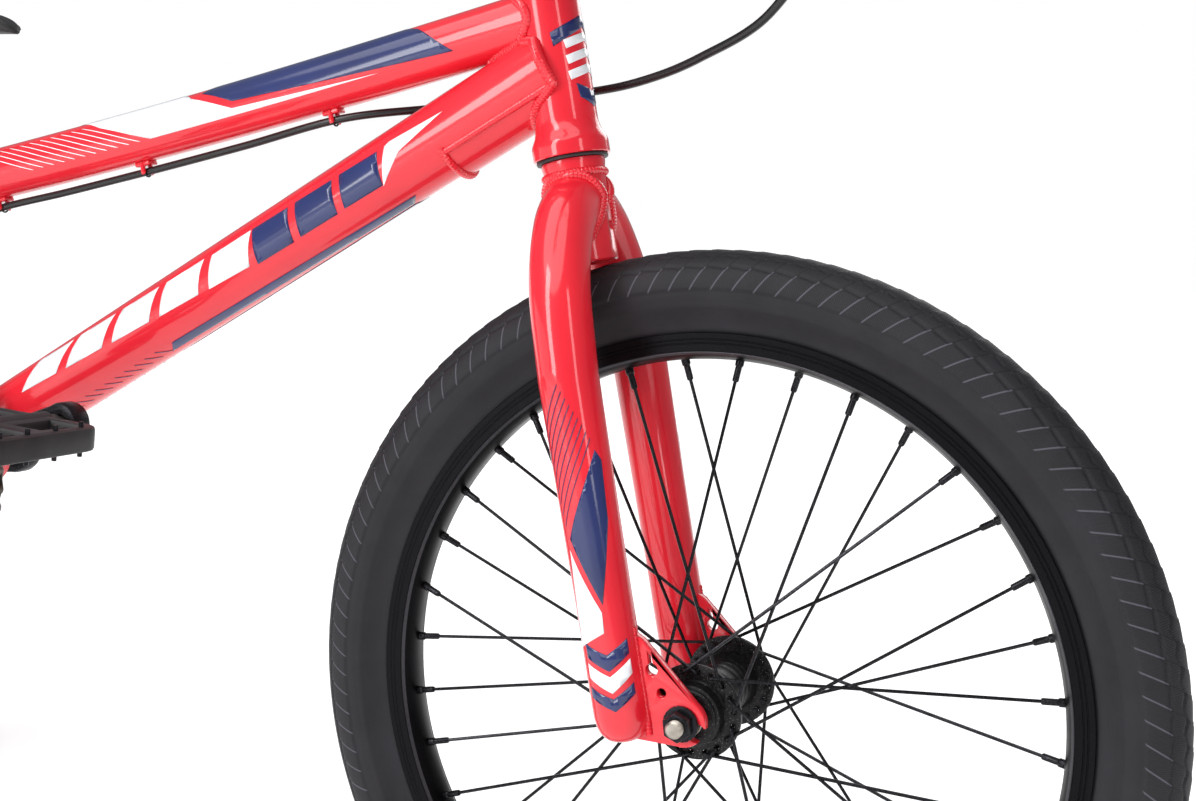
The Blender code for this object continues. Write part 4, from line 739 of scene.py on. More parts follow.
def rim_edge_shape():
    """The corner where the side wall turns in to the spoke bed, in paler grey: a painted highlight along it.
    """
    half = RIM_WIDTH / 2
    rings = []
    for side in (1, -1):
        profile = [(0.1983, half - 0.0004), (0.1978, half - 0.0001), (0.1966, half - 0.0018),
                   (0.1972, half - 0.0022)]
        rings.append(lathe([(r, side * z) for r, z in profile], WHEEL, 216))
    return gather(*rings)


def spoke_ends(side, index):
    """Hub and rim ends of one spoke on one side of the wheel, in the wheel's own frame."""
    step = 2 * math.pi / SPOKES
    rim_angle = math.radians(SPOKE_PHASE) + step * (2 * index + (side > 0))
    hub_angle = rim_angle + SPOKE_CROSSES * 2 * step * (1 if index % 2 else -1)
    hub_radius = FLANGE_RADIUS - 0.0040
    hub_height = side * (FLANGE_HALF_SPACING + FLANGE_THICKNESS / 2 + SPOKE_RADIUS + 0.0020)
    hub_end = Vector((hub_radius * math.cos(hub_angle), hub_radius * math.sin(hub_angle), hub_height))
    rim_radius = RIM_INNER_RADIUS - 0.0004
    rim_end = Vector((rim_radius * math.cos(rim_angle), rim_radius * math.sin(rim_angle), side * 0.0015))
    layer = Vector((0, 0, SPOKE_RADIUS * (1 if index % 2 else -1)))  # leading spokes lie over trailing ones
    return hub_end + layer * 0.5, rim_end + layer * 0.3


def spoke_shapes(side):
    """Every spoke on one side: head, bend and wire, each with its nipple at the rim."""
    inner_face = side * (FLANGE_HALF_SPACING - FLANGE_THICKNESS / 2 - 0.0006)
    shapes = []
    for index in range(SPOKES // 2):
        hub_end, rim_end = spoke_ends(side, index)
        head = Vector((hub_end.x, hub_end.y, inner_face))
        along = (rim_end - hub_end).normalized()
        path = rounded([head, hub_end, rim_end - along * 0.0100], 0.0020, 4)
        shapes.append(bar(path, SPOKE_RADIUS, 8, Vector((0.7, 0.7, 0.1))))
        shapes.append(lathe([(0, 0.0012), (0.0016, 0.0010), (0.0018, 0), (0, 0)],
                            frame_on(head - Vector((0, 0, side * 0.0006)), Vector((0, 0, -side)),
                                     Vector((1, 0, 0))), 10))
        nipple_at = frame_on(rim_end, -along, Vector((0, 0, 1)))
        nipple = [(0, 0.0120), (0.0016, 0.0120), (0.0019, 0.0112), (0.0019, 0.0034), (0.0025, 0.0026),
                  (0.0025, -0.0006),
                  (0, -0.0006)]
        shapes.append(lathe(nipple, nipple_at, 12))
    return moved(gather(*shapes), WHEEL)


def hub_shape(half_width):
    """The shell: drilled flanges, a grooved barrel and stepped dust caps."""
    flange_out = FLANGE_HALF_SPACING + FLANGE_THICKNESS / 2
    flange_in = FLANGE_HALF_SPACING - FLANGE_THICKNESS / 2
    barrel = []
    for groove in (0.0060, 0.0140, 0.0220):
        barrel += [(HUB_BARREL_RADIUS - 0.0010, groove + 0.0012), (HUB_BARREL_RADIUS - 0.0016, groove),
                   (HUB_BARREL_RADIUS - 0.0010, groove - 0.0012)]
    barrel.sort(key=lambda point: -point[1])
    half = [(0.0100, half_width), (0.0150, half_width), (0.0160, half_width - 0.0012),
            (0.0160, half_width - 0.0030), (DUST_CAP_RADIUS, half_width - 0.0036),
            (DUST_CAP_RADIUS, flange_out + 0.0010), (FLANGE_RADIUS - 0.0085, flange_out), (0.0170, flange_in),
            (HUB_BARREL_RADIUS - 0.0010, flange_in - 0.0060)] + barrel
    profile = half + [(r, -z) for r, z in reversed(half)]
    bore = AXLE_RADIUS + 0.0003
    shell = lathe(profile + [(bore, -half_width), (bore, half_width)], WHEEL, 72)
    shapes = [shell]
    step = 2 * math.pi / SPOKES
    for side in (1, -1):
        holes = []
        for index in range(SPOKES // 2):
            end, _ = spoke_ends(side, index)
            holes.append([(end.x + 0.0014 * math.cos(a), end.y + 0.0014 * math.sin(a))
                          for a in [step * 4.5 * k for k in range(8)]])
        ring = arc((0, 0), FLANGE_RADIUS, 0, 355, 71)
        holes.append(arc((0, 0), 0.0160, 0, 350, 35))
        matrix = WHEEL @ Matrix.Translation((0, 0, side * FLANGE_HALF_SPACING))
        shapes.append(slab(ring, FLANGE_THICKNESS, matrix, holes, 0.0006))
    return gather(*shapes)


def cone_shape(half_width, gap):
    """The lock nut and spacer between a dust cap and the dropout."""
    profile = [(0.0092, half_width + gap), (0.0096, half_width + gap - 0.0005), (0.0096, half_width),
               (0.0050, half_width), (0.0050, half_width + gap)]
    return gather(lathe(profile, WHEEL, 36), lathe([(r, -z) for r, z in profile], WHEEL, 36))


def thread_profile(end, start):
    """The threaded outside of an axle, from its chamfered tip inwards."""
    profile = [(0, end), (AXLE_RADIUS - 0.0010, end), (AXLE_RADIUS, end - 0.0008)]
    pitch = 0.0010
    at = end - 0.0012
    while at > start:
        profile += [(AXLE_RADIUS - 0.0005, at - pitch / 2), (AXLE_RADIUS, at - pitch)]
        at -= pitch
    return profile + [(AXLE_RADIUS, start - 0.0010)]


def nut_shape(matrix):
    """A flanged hexagon nut with chamfered corners and a serrated washer face."""
    hexagon = [(NUT_HEX_RADIUS * math.cos(a), NUT_HEX_RADIUS * math.sin(a))
               for a in [math.radians(60 * i + 12) for i in range(6)]]
    bore = arc((0, 0), AXLE_RADIUS + 0.0003, 0, 345, 23)
    body = slab(hexagon, 0.0075, matrix @ Matrix.Translation((0, 0, 0.0055)), [bore], 0.0006)
    teeth = []
    for i in range(48):
        radius = NUT_FLANGE_RADIUS - (0.0003 if i % 2 else 0)
        teeth.append((radius * math.cos(2 * math.pi * i / 48), radius * math.sin(2 * math.pi * i / 48)))
    flange = slab(teeth, 0.0020, matrix @ Matrix.Translation((0, 0, 0.0010)), [bore], 0.0003)
    dome = lathe([(NUT_HEX_RADIUS * 0.80, 0.0096), (NUT_HEX_RADIUS * 0.86, 0.0090),
                  (AXLE_RADIUS + 0.0004, 0.0090),
                  (AXLE_RADIUS + 0.0004, 0.0096)], matrix, 36)
    return gather(body, flange, dome)


def make_wheels():
    mesh = tyre_mesh()
    for label, axle, body in (("front", FRONT_AXLE, "front_wheel"), ("rear", REAR_AXLE, "rear_wheel")):
        here = Matrix.Translation(axle)
        half = HUB_HALVES[label]
        tyre = bpy.data.objects.new(f"{label}_treaded_tyre", mesh.copy())
        bpy.context.scene.collection.objects.link(tyre)
        tyre.data.transform(here)
        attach(tyre, body)
        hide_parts(f"{label}_tyre")
        piece(f"{label}_rim_box", moved(rim_shape(), here), RIM_METAL, body, "black_anodised", f"{label}_rim")
        # The rim's inner corner in paler grey, a painted highlight.
        piece(f"{label}_rim_corner_highlight", moved(rim_edge_shape(), here), RIM_HIGHLIGHT_METAL, body, "black_anodised")
        for side, name in ((1, "left"), (-1, "right")):
            piece(f"{label}_wires_{name}", moved(spoke_shapes(side), here), WIRE, body, "black_spoke",
                  f"{label}_spokes_{name}")
        shell_half = half - 0.0030
        piece(f"{label}_hub_shell", moved(hub_shape(shell_half), here), HUB_METAL, body, "black_anodised",
              f"{label}_hub")
        carrier = "steering" if label == "front" else "frame"
        piece(f"{label}_lock_nuts", moved(cone_shape(shell_half + 0.0004, 0.0024), here), BARE_STEEL, carrier,
              "bare_steel")
        end = half + DROPOUT_THICKNESS + 0.0136
        thread = thread_profile(end, half - 0.0010)
        both = thread + [(r, -z) for r, z in reversed(thread)]
        piece(f"{label}_threaded_axle", moved(lathe(both, WHEEL, 36), here), BARE_STEEL, carrier,
              "bare_steel",
              f"{label}_axle")
        for side, name in ((1, "left"), (-1, "right")):
            face = frame_on(axle + LEFT * side * (half + DROPOUT_THICKNESS + 0.0003), LEFT * side, UP)
            piece(f"{label}_flanged_nut_{name}", nut_shape(face), BLACK_METAL, carrier, "black_anodised",
                  f"{label}_axle_nut_{name}")
        make_valve(label, axle, body)


def make_valve(label, axle, body):
    """A car valve: rubber stem and knurled cap, at the wheel's foot."""
    turn = math.radians(SPOKE_PHASE + 360 / SPOKES / 2 + 180)
    outwards = Vector((math.sin(turn), 0, math.cos(turn)))
    low = RIM_BED_RADIUS + 0.0040 - 0.0340
    cap = [(0, 0), (0.0030, 0), (0.0036, 0.0008), (0.0037, 0.0080), (0.0030, 0.0086), (0.0030, 0.0110),
           (0.0034, 0.0116), (0.0038, 0.0180), (0.0039, 0.0335), (0, 0.0340)]
    matrix = frame_on(axle + outwards * low, outwards, LEFT)
    piece(f"{label}_valve_stem", lathe(cap, matrix, 24), HOUSING, body, "black_plastic", f"{label}_valve")


# Frame

def head_radius(along):
    """The head tube's outer radius at a place along the steering axis."""
    low, high = HEAD_LOW + HEAD_RING_HEIGHT, HEAD_HIGH - HEAD_RING_HEIGHT
    places = [HEAD_LOW, low, low + HEAD_FLARE * 0.5, low + HEAD_FLARE, high - HEAD_FLARE / 2, high, HEAD_HIGH]
    waist, ring = HEAD_WAIST_RADIUS, HEAD_RING_RADIUS
    return float(np.interp(along, places, [ring, ring, waist + 0.0012, waist, waist, ring, ring]))


def along_steering(height, out=0.0, side=0.0):
    """A point in the plane of the steering axis: up it, ahead of it and to its left."""
    return STEER_ORIGIN + STEER_UP * height + STEER_FORWARD * out + LEFT * side


OUTSIDE_HEAD = off_rod(STEER_ORIGIN, STEER_UP, head_radius)
OUTSIDE_SEAT_TUBE = off_rod(BRACKET, SEAT_UP, SEAT_TUBE_RADIUS)
OUTSIDE_SHELL = off_rod(BRACKET, LEFT, SHELL_RADIUS)
OUTSIDE_DOWN_TUBE = off_rod(DOWN_TUBE_FRONT, (BRACKET - DOWN_TUBE_FRONT).normalized(), DOWN_TUBE_RADIUS)


def top_tube_line(share):
    """A point on the top tube's centre line, from the seat tube, which dips a little in the middle."""
    straight_point = TOP_TUBE_BACK.lerp(TOP_TUBE_FRONT, share)
    return straight_point - UP * TOP_TUBE_DIP * math.sin(math.pi * share)


def top_tube_frame(share):
    at = top_tube_line(share)
    along = (top_tube_line(share + 0.01) - at).normalized()
    return at, along, Vector((along.z, 0, -along.x))


def top_tube_surface(along, degrees):
    """A point and normal on the top tube: metres back from the head tube, degrees up from its right side."""
    share = 1 - along / (TOP_TUBE_BACK - TOP_TUBE_FRONT).length
    at, _, down = top_tube_frame(share)
    a = math.radians(degrees)
    normal = RIGHT * math.cos(a) - down * math.sin(a)
    return at + normal * TOP_TUBE_RADIUS, normal


def down_tube_surface(along, degrees):
    back = (BRACKET - DOWN_TUBE_FRONT).normalized()
    up = Vector((-back.z, 0, back.x))
    up = up if up.z > 0 else -up
    a = math.radians(degrees)
    normal = RIGHT * math.cos(a) + up * math.sin(a)
    return DOWN_TUBE_FRONT + back * along + normal * DOWN_TUBE_RADIUS, normal


def head_surface(height, degrees):
    a = math.radians(degrees)
    normal = RIGHT * math.cos(a) + STEER_FORWARD * math.sin(a)
    return along_steering(height) + normal * head_radius(height), normal


def make_head_tube():
    """The head tube with its bearing rings."""
    low, high = HEAD_LOW, HEAD_HIGH
    outline = [(HEAD_RING_RADIUS - 0.0006, high), (HEAD_RING_RADIUS, high - 0.0006)]
    for i in range(1, 60):
        height = high - (high - low) * i / 60
        outline.append((head_radius(height), height))
    outline += [(HEAD_RING_RADIUS, low + 0.0006), (HEAD_RING_RADIUS - 0.0006, low)]
    bore = HEAD_RING_RADIUS - 0.0017
    inside = [(bore, low), (bore, low + 0.0065), (0.0165, low + 0.0066), (0.0165, high - 0.0066),
              (bore, high - 0.0065),
              (bore, high)]
    piece("head_tube_turned", lathe(outline + inside, STEERING, 96), PAINT, "frame", "frame_paint",
          "head_tube")


def make_main_tubes():
    """Top and down tubes, the gusset under the down tube, and every weld where they meet."""
    welds = []
    back = (BRACKET - DOWN_TUBE_FRONT).normalized()
    line = [top_tube_line(i / 90) for i in range(91)]
    rings = rings_along(line, TOP_TUBE_RADIUS, 48)
    top = mitred(rings, OUTSIDE_SEAT_TUBE, nearest(OUTSIDE_HEAD, OUTSIDE_DOWN_TUBE))
    piece("top_tube_mitred", skin(top, caps=False), PAINT, "frame", "frame_paint", "top_tube")
    welds += [bead(top[0]), bead(top[-1])]
    line = straight(BRACKET - back * 0.0110, DOWN_TUBE_FRONT, 90)
    down = mitred(rings_along(line, DOWN_TUBE_RADIUS, 56), nearest(OUTSIDE_SHELL, OUTSIDE_SEAT_TUBE),
                  OUTSIDE_HEAD)
    piece("down_tube_mitred", skin(down, caps=False), PAINT, "frame", "frame_paint", "down_tube")
    welds += [bead(down[0]), bead(down[-1])]
    drop = Vector((-back.z, 0, back.x)) * GUSSET_DROP
    sleeve_line = straight(DOWN_TUBE_FRONT + drop + back * GUSSET_LENGTH, DOWN_TUBE_FRONT + drop, 40)
    sleeve = rings_along(sleeve_line, GUSSET_RADIUS, 48)
    sleeve = mitred(sleeve, None, OUTSIDE_HEAD)
    piece("gusset_sleeve", skin(sleeve), PAINT, "frame", "frame_paint")
    tests = [OUTSIDE_DOWN_TUBE(point) for point in sleeve[0]]
    hem = [point for point, test in zip(sleeve[0], tests) if test > -0.0006]
    middle = DOWN_TUBE_FRONT + drop + back * GUSSET_LENGTH
    hem.sort(key=lambda point: point[1])
    welds.append(bead(hem, 0.0026, closed=False))
    for side in (1, -1):
        edge = []
        for ring in sleeve:
            own = [p for p in ring if (p[1] - middle.y) * side > 0]
            edge.append(min(own, key=lambda p: abs(OUTSIDE_DOWN_TUBE(p))))
        welds.append(bead(edge[::2], 0.0022, closed=False))
    piece("front_frame_welds", gather(*welds), PAINT, "frame", "frame_paint")


def make_guides():
    """Cable guides under the top tube, each with two ears, and the clip that holds the housing."""
    offset = TOP_TUBE_RADIUS + 0.0034 + HOUSING_RADIUS + 0.0003
    ears, clips = [], []
    for share in GUIDE_SHARES:
        at, along, down = top_tube_frame(share)
        seat = frame_on(at + down * (TOP_TUBE_RADIUS + 0.0010), down, along)
        ears.append(block((0.0120, 0.0090, 0.0030), seat, 0.0010))
        for side in (1, -1):
            reach_down = [at + down * TOP_TUBE_RADIUS + LEFT * side * 0.0035,
                          at + down * offset + LEFT * side * 0.0040,
                          at + down * (offset + 0.0012) + LEFT * side * 0.0036]
            ears.append(bar(spline_through(reach_down, 4), [0.0016] * 8 + [0.0010], 10, along))
        ring = [at + down * offset + (down * math.sin(a) + LEFT * math.cos(a)) * 0.0032
                for a in [math.radians(d) for d in range(-40, 221, 10)]]
        clips.append(bar(ring, 0.0006, 8, along))
    piece("cable_guide_saddles", gather(*ears), PAINT, "frame", "frame_paint")
    piece("cable_clips", gather(*clips), NYLON, "frame", "black_plastic")


def make_seat_tube():
    """Seat tube, bracket shell and seat clamp."""
    line = straight(BRACKET, BRACKET + SEAT_UP * SEAT_TUBE_LENGTH, 50)
    seat = mitred(rings_along(line, SEAT_TUBE_RADIUS, 40), OUTSIDE_SHELL, None)
    inner = rings_along([line[-1], line[-1] - SEAT_UP * 0.0300], SEAT_TUBE_RADIUS - 0.0026, 40)
    shape = skin(np.concatenate([seat, inner]), caps=False)
    piece("seat_tube_mitred", gather(shape, bead(seat[0])), PAINT, "frame", "frame_paint", "seat_tube")
    across = frame_on(BRACKET, LEFT, UP)
    half = [(SHELL_RADIUS - 0.0008, SHELL_HALF), (SHELL_RADIUS, SHELL_HALF - 0.0008)]
    profile = half + [(r, -z) for r, z in reversed(half)] + [(0.0208, -SHELL_HALF), (0.0208, SHELL_HALF)]
    piece("bracket_shell_turned", lathe(profile, across, 72), PAINT, "frame", "frame_paint",
          "bottom_bracket_shell")
    low, high = reach("seat_clamp", BRACKET, SEAT_UP)
    outer = SEAT_TUBE_RADIUS + 0.0034
    at = frame_on(BRACKET, SEAT_UP)
    band = [(outer - 0.0008, high), (outer, high - 0.0008), (outer, low + 0.0030),
            (outer - 0.0010, low + 0.0024),
            (outer - 0.0010, low), (SEAT_TUBE_RADIUS + 0.0001, low), (SEAT_TUBE_RADIUS + 0.0001, high)]
    backwards = at.to_3x3() @ Vector((0, 1, 0))
    if backwards.x > 0:
        backwards = -backwards
    middle = BRACKET + SEAT_UP * (low + high) / 2
    shapes = [lathe(band, at, 64)]
    for side in (1, -1):
        ear = frame_on(middle + backwards * (outer + 0.0020) + LEFT * side * 0.0043, SEAT_UP)
        shapes.append(block((0.0064, 0.0090, high - low), ear, 0.0012))
    piece("seat_clamp_band", gather(*shapes), BLACK_METAL, "frame", "black_anodised", "seat_clamp")
    bolt = frame_on(middle + backwards * (outer + 0.0030) + RIGHT * 0.0074, RIGHT, SEAT_UP)
    piece("seat_clamp_bolt", socket_bolt(bolt, 0.0036, 0.0026), BARE_STEEL, "frame", "bare_steel")


def socket_bolt(matrix, radius, height):
    """A cap screw's head with its hexagon socket, its underside on the matrix's origin."""
    hexagon = [(radius * 0.52 * math.cos(a), radius * 0.52 * math.sin(a))
               for a in [math.radians(60 * i) for i in range(6)]]
    head = slab(arc((0, 0), radius, 0, 345, 23), height, matrix @ Matrix.Translation((0, 0, height / 2)),
                [hexagon],
                radius * 0.12)
    floor = slab(arc((0, 0), radius * 0.8, 0, 330, 11), height * 0.3,
                 matrix @ Matrix.Translation((0, 0, height * 0.2)), bevel=0.0001)
    return gather(head, floor)


def seatstay_ends():
    """The seatstay's ends in the centre plane, its upward direction and the one square to it, up and back."""
    high = TOP_TUBE_BACK - UP * 0.0100
    low = REAR_AXLE + Vector((0.0200, 0, 0.0300))
    along = (high - low).normalized()
    return high, low, along, Vector((-along.z, 0, along.x))


def brake_pivot(side):
    """Where a brake arm turns: X runs up the stay, Y to the left and Z away from the stay."""
    _, _, along, outward = seatstay_ends()
    return frame_on(joint_at("brake_arm_left_swing" if side > 0 else "brake_arm_right_swing"), outward, along)


def make_stays():
    """Chainstays, seatstays, rear dropouts and brake bosses."""
    for side, label in ((1, "left"), (-1, "right")):
        axle_y = side * (HUB_HALVES["rear"] + DROPOUT_THICKNESS / 2)
        middle = Vector((REAR_AXLE.x + TYRE_RADIUS * 0.93, side * 0.0350, BRACKET.z - 0.0050))
        low_end = REAR_AXLE + Vector((0.0300, axle_y, 0.0020))
        path = spline_through([BRACKET + LEFT * side * 0.0270, middle, low_end], 24)
        stay = mitred(rings_along(path, STAY_RADIUS, 28), OUTSIDE_SHELL, None)
        outline = arc((0, 0), 0.0150, 110, 270, 24) + [(0.0280, -0.0080), (0.0360, 0.0080), (0.0240, 0.0330)]
        face = upright_face(REAR_AXLE + LEFT * axle_y)
        axle_hole = arc((0, 0), AXLE_RADIUS + 0.0003, 0, 345, 23)
        dropout = slab(outline, DROPOUT_THICKNESS, face, [axle_hole], 0.0008)
        foot = [low_end + Vector((0.0095 * math.cos(a), 0, 0.0095 * math.sin(a)))
                for a in [math.radians(d) for d in range(-80, 81, 10)]]
        shape = gather(skin(stay), dropout, bead(stay[0], 0.0026), bead(foot, 0.0024, closed=False))
        piece(f"chainstay_bent_{label}", shape, PAINT, "frame", "frame_paint", f"chainstay_{label}")
        high, low, along, outward = seatstay_ends()
        pivot = brake_pivot(side).translation
        share = (high - pivot).dot(along) / (high - low).length
        outside = LEFT * side * (HUB_HALVES["rear"] + DROPOUT_THICKNESS / 2)
        boss_at = high.lerp(low, share)
        points = [high + LEFT * side * 0.0080, high.lerp(low, share * 0.45) + LEFT * side * 0.0368,
                  boss_at + LEFT * side * 0.0400, boss_at.lerp(low, 0.6) + outside, low + outside]
        path = spline_through(points, 16)
        seatstay = mitred(rings_along(path, SEATSTAY_RADIUS, 28), OUTSIDE_SEAT_TUBE, None)
        at_boss = frame_on(boss_at + LEFT * side * 0.0400, outward, along)
        boss = lathe([(0, 0.0222), (0.0034, 0.0222), (0.0040, 0.0214), (0.0040, 0.0090), (0.0058, 0.0084),
                      (0.0058, 0.0040), (0, 0.0040)], at_boss, 32)
        shape = gather(skin(seatstay), boss, bead(seatstay[0], 0.0024))
        piece(f"seatstay_bent_{label}", shape, PAINT, "frame", "frame_paint", f"seatstay_{label}")


# Fork

def fork_leg_path(side):
    """A fork leg's centre line, from the neck out round the tyre and straight down."""
    spread = FORK_LEG_SPREAD
    points = [(0.10 * spread, HEAD_LOW - 0.0240), (0.52 * spread, HEAD_LOW - 0.0420),
              (0.86 * spread, HEAD_LOW - 0.0760), (spread, HEAD_LOW - 0.1250)]
    path = spline_through([along_steering(z, side=side * y) for y, z in points], 24)
    low = -0.0080
    foot = [0.0160, 0.0110, 0.0075, 0.0045, 0.0022, 0.0008, 0.0]
    return path + [along_steering(low + rise, side=side * spread) for rise in (0.1000, 0.0500, *foot)]


def leg_radius(height):
    """A fork leg's radius at a height up the steering axis."""
    high = HEAD_LOW - 0.1250
    return float(np.interp(height, [high - 0.0935, high + 0.0300], [FORK_LEG_RADIUS, FORK_LEG_TOP_RADIUS]))


def leg_surface(height, degrees, side=-1):
    """A point and normal on a fork leg: metres up the steering axis, degrees ahead of its outer side."""
    path = fork_leg_path(side)
    heights = [(p - STEER_ORIGIN).dot(STEER_UP) for p in path]
    sides = [p.y for p in path]
    centre = along_steering(height, side=float(np.interp(height, heights[::-1], sides[::-1])))
    a = math.radians(degrees)
    normal = LEFT * side * math.cos(a) + STEER_FORWARD * math.sin(a)
    return centre + normal * leg_radius(height), normal


def make_fork():
    """Steerer neck, legs and dropout plates, with their welds."""
    neck_top = HEAD_LOW - 0.0022
    neck_low = HEAD_LOW - NECK_LENGTH
    profile = [(0, neck_top), (NECK_RADIUS + 0.0010, neck_top), (NECK_RADIUS + 0.0012, neck_top - 0.0020),
               (NECK_RADIUS, neck_top - 0.0085), (NECK_RADIUS, neck_low + 0.0010),
               (NECK_RADIUS - 0.0008, neck_low),
               (NECK_RADIUS - 0.0034, neck_low), (NECK_RADIUS - 0.0034, neck_low + 0.0100),
               (0, neck_low + 0.0100)]
    neck = piece("fork_neck", lathe(profile, STEERING, 72), PAINT, "steering", "frame_paint", "fork")
    drill = piece("neck_drill", bar([along_steering(neck_low + NECK_HOLE_RISE, out=x)
                                     for x in (-0.03, 0, 0.03)],
                                    0.0032, 24), PAINT, None, "frame_paint")
    hole = neck.modifiers.new("Hole", "BOOLEAN")
    hole.operation = "DIFFERENCE"
    hole.object = drill
    bpy.context.view_layer.update()
    cut = bpy.data.meshes.new_from_object(neck.evaluated_get(bpy.context.evaluated_depsgraph_get()))
    neck.modifiers.clear()
    neck.data = cut
    bpy.data.objects.remove(drill)
    outside_neck = off_rod(STEER_ORIGIN, STEER_UP, NECK_RADIUS)
    weld_centre = along_steering(neck_top - 0.0082)
    round_neck = [weld_centre + (STEER_FORWARD * math.cos(a) + LEFT * math.sin(a)) * NECK_RADIUS
                  for a in np.linspace(0, 2 * math.pi, 60, endpoint=False)]
    welds = [bead(round_neck, 0.0024)]
    for side, label in ((1, "left"), (-1, "right")):
        path = fork_leg_path(side)
        radii = np.array([leg_radius((point - STEER_ORIGIN).dot(STEER_UP)) for point in path])
        radii[-7:] *= (1.0, 0.96, 0.89, 0.78, 0.62, 0.42, 0.20)
        rings = rings_along(path, radii, 48, STEER_FORWARD)
        leg = np.concatenate([mitred(rings[:-7], outside_neck, None, 110), rings[-7:]])
        welds.append(bead(leg[0], 0.0030))
        face = STEERING @ Matrix.Translation((0, side * (HUB_HALVES["front"] + DROPOUT_THICKNESS / 2), 0))
        face = face @ Matrix.Rotation(math.pi / 2, 4, "X")
        keyhole = arc((0.0215, 0.0300), 0.0034, 112, 430, 24) + [(0.0222, 0.0400), (0.0206, 0.0404)]
        round_hole = arc((0.0250, 0.0170), 0.0026, 0, 340, 17)
        slot_angle = math.radians(-38)
        forward = Vector((math.cos(slot_angle), math.sin(slot_angle), 0))
        across = Vector((-forward.y, forward.x, 0)) * AXLE_RADIUS
        centre = Vector((FORK_RAKE, 0, 0))
        lips = [centre + forward * 0.0127 + across, centre + forward * 0.0127 - across]
        before = PLATE_SHOULDER + arc((FORK_RAKE, 0), PLATE_RADIUS, 42, -16, 12)
        after = arc((FORK_RAKE, 0), PLATE_RADIUS, -60, -112, 10) + [(0, -0.0060)]
        inside = [tuple(lips[0].xy)] + arc((FORK_RAKE, 0), AXLE_RADIUS + 0.0003, 52, 232, 16)
        inside += [tuple(lips[1].xy)]
        plate = slab(before + inside + after, DROPOUT_THICKNESS, face, [keyhole, round_hole], 0.0008)
        front_line = []
        for height in np.linspace(-0.0050, 0.0540, 20):
            at, _ = leg_surface(height, 68, side)
            front_line.append(Vector((at.x, side * (HUB_HALVES["front"] + DROPOUT_THICKNESS), at.z)))
        welds.append(bead(front_line, 0.0022, closed=False))
        piece(f"fork_leg_tube_{label}", gather(skin(leg), plate), PAINT, "steering", "frame_paint")
    piece("fork_welds", gather(*welds), PAINT, "steering", "frame_paint")
    low, high = reach("crown_seal", STEER_ORIGIN, STEER_UP)
    seal = HEAD_RING_RADIUS - 0.0017
    piece("crown_seal_lip", lathe([(seal, high), (seal + 0.0003, (low + high) / 2), (seal, low),
                                   (0.0150, low),
                                   (0.0150, high)], STEERING, 72), NYLON, "steering", "black_plastic",
          "crown_seal")
    low, high = reach("headset_cover", STEER_ORIGIN, STEER_UP)
    cover = [(0.0160, high), (0.0185, high - 0.0008), (HEAD_RING_RADIUS - 0.0003, low + 0.0022),
             (HEAD_RING_RADIUS - 0.0003, low), (0.0150, low), (0.0150, high)]
    piece("headset_cover_turned", lathe(cover, STEERING, 72), BLACK_METAL, "steering", "black_anodised",
          "headset_cover")
    low, high = reach("headset_spacer", STEER_ORIGIN, STEER_UP)
    spacer = [(0.0170, high), (0.0175, high - 0.0005), (0.0175, low + 0.0005), (0.0170, low), (0.0150, low),
              (0.0150, high)]
    piece("headset_spacer_ring", lathe(spacer, STEERING, 72), BLACK_METAL, "steering", "black_anodised",
          "headset_spacer")


# Cockpit

def bar_corners():
    """The bar's corners on the left, in the steering frame."""
    sweep = math.tan(BAR_BACKSWEEP) * (BAR_HALF_WIDTH - BAR_SHOULDER)
    high = STEM_MIDDLE + BAR_RISE
    return [Vector((STEM_REACH, 0.0650, STEM_MIDDLE)), Vector((STEM_REACH, BAR_SHOULDER, high)),
            Vector((STEM_REACH - sweep, BAR_HALF_WIDTH, high + 0.0030))]


def mirrored(point):
    return Vector((point.x, -point.y, point.z))


def make_bar():
    """A high-rise bar with its welded crossbar, and ribbed grips."""
    half = bar_corners()
    corners = [STEERING @ p for p in [mirrored(p) for p in reversed(half)] + half]
    path = rounded(corners, 0.0280, 12)
    fine = []
    for a, b in zip(path, path[1:]):
        fine += straight(a, b, max(1, int((b - a).length / 0.01)))[:-1]
    rings = rings_along(fine + [path[-1]], BAR_RADIUS, 32, STEER_FORWARD)
    ends = [half[0].lerp(half[1], CROSSBAR_SHARE), mirrored(half[0].lerp(half[1], CROSSBAR_SHARE))]
    ends = [STEERING @ p for p in ends]
    rise = (STEERING.to_3x3() @ (half[1] - half[0])).normalized()
    other_rise = (STEERING.to_3x3() @ mirrored(half[1] - half[0])).normalized()
    cross = rings_along(straight(ends[0], ends[1], 60), CROSSBAR_RADIUS, 28, STEER_FORWARD)
    cross = mitred(cross, off_rod(ends[0], rise, BAR_RADIUS), off_rod(ends[1], other_rise, BAR_RADIUS))
    shape = gather(skin(rings), skin(cross, caps=False), bead(cross[0], 0.0020), bead(cross[-1], 0.0020))
    piece("bar_bent_tube", shape, BLACK_METAL, "steering", "black_anodised", "handlebar")
    for label, inner, tip in (("left", path[-2], path[-1]), ("right", path[1], path[0])):
        profile = [(0, 0.0040), (0.0125, 0.0040), (0.0150, 0.0034), (0.0155, 0.0020), (0.0155, -0.0040)]
        for i in range(28):
            z = -0.0060 - i * 0.0043
            profile += [(0.0155, z), (0.0155, z - 0.0022), (0.0142, z - 0.0027), (0.0142, z - 0.0038)]
        profile += [(0.0155, -0.1275), (0.0160, -0.1300), (0.0189, -0.1325), (0.0189, -0.1345),
                    (0.0184, -0.1350),
                    (0.0114, -0.1350), (0.0114, 0.0)]
        piece(f"grip_ribbed_{label}", lathe(profile + [(0, 0)], frame_on(tip, tip - inner), 40), GRIP_RUBBER,
              "steering", "grip_rubber", f"grip_{label}")


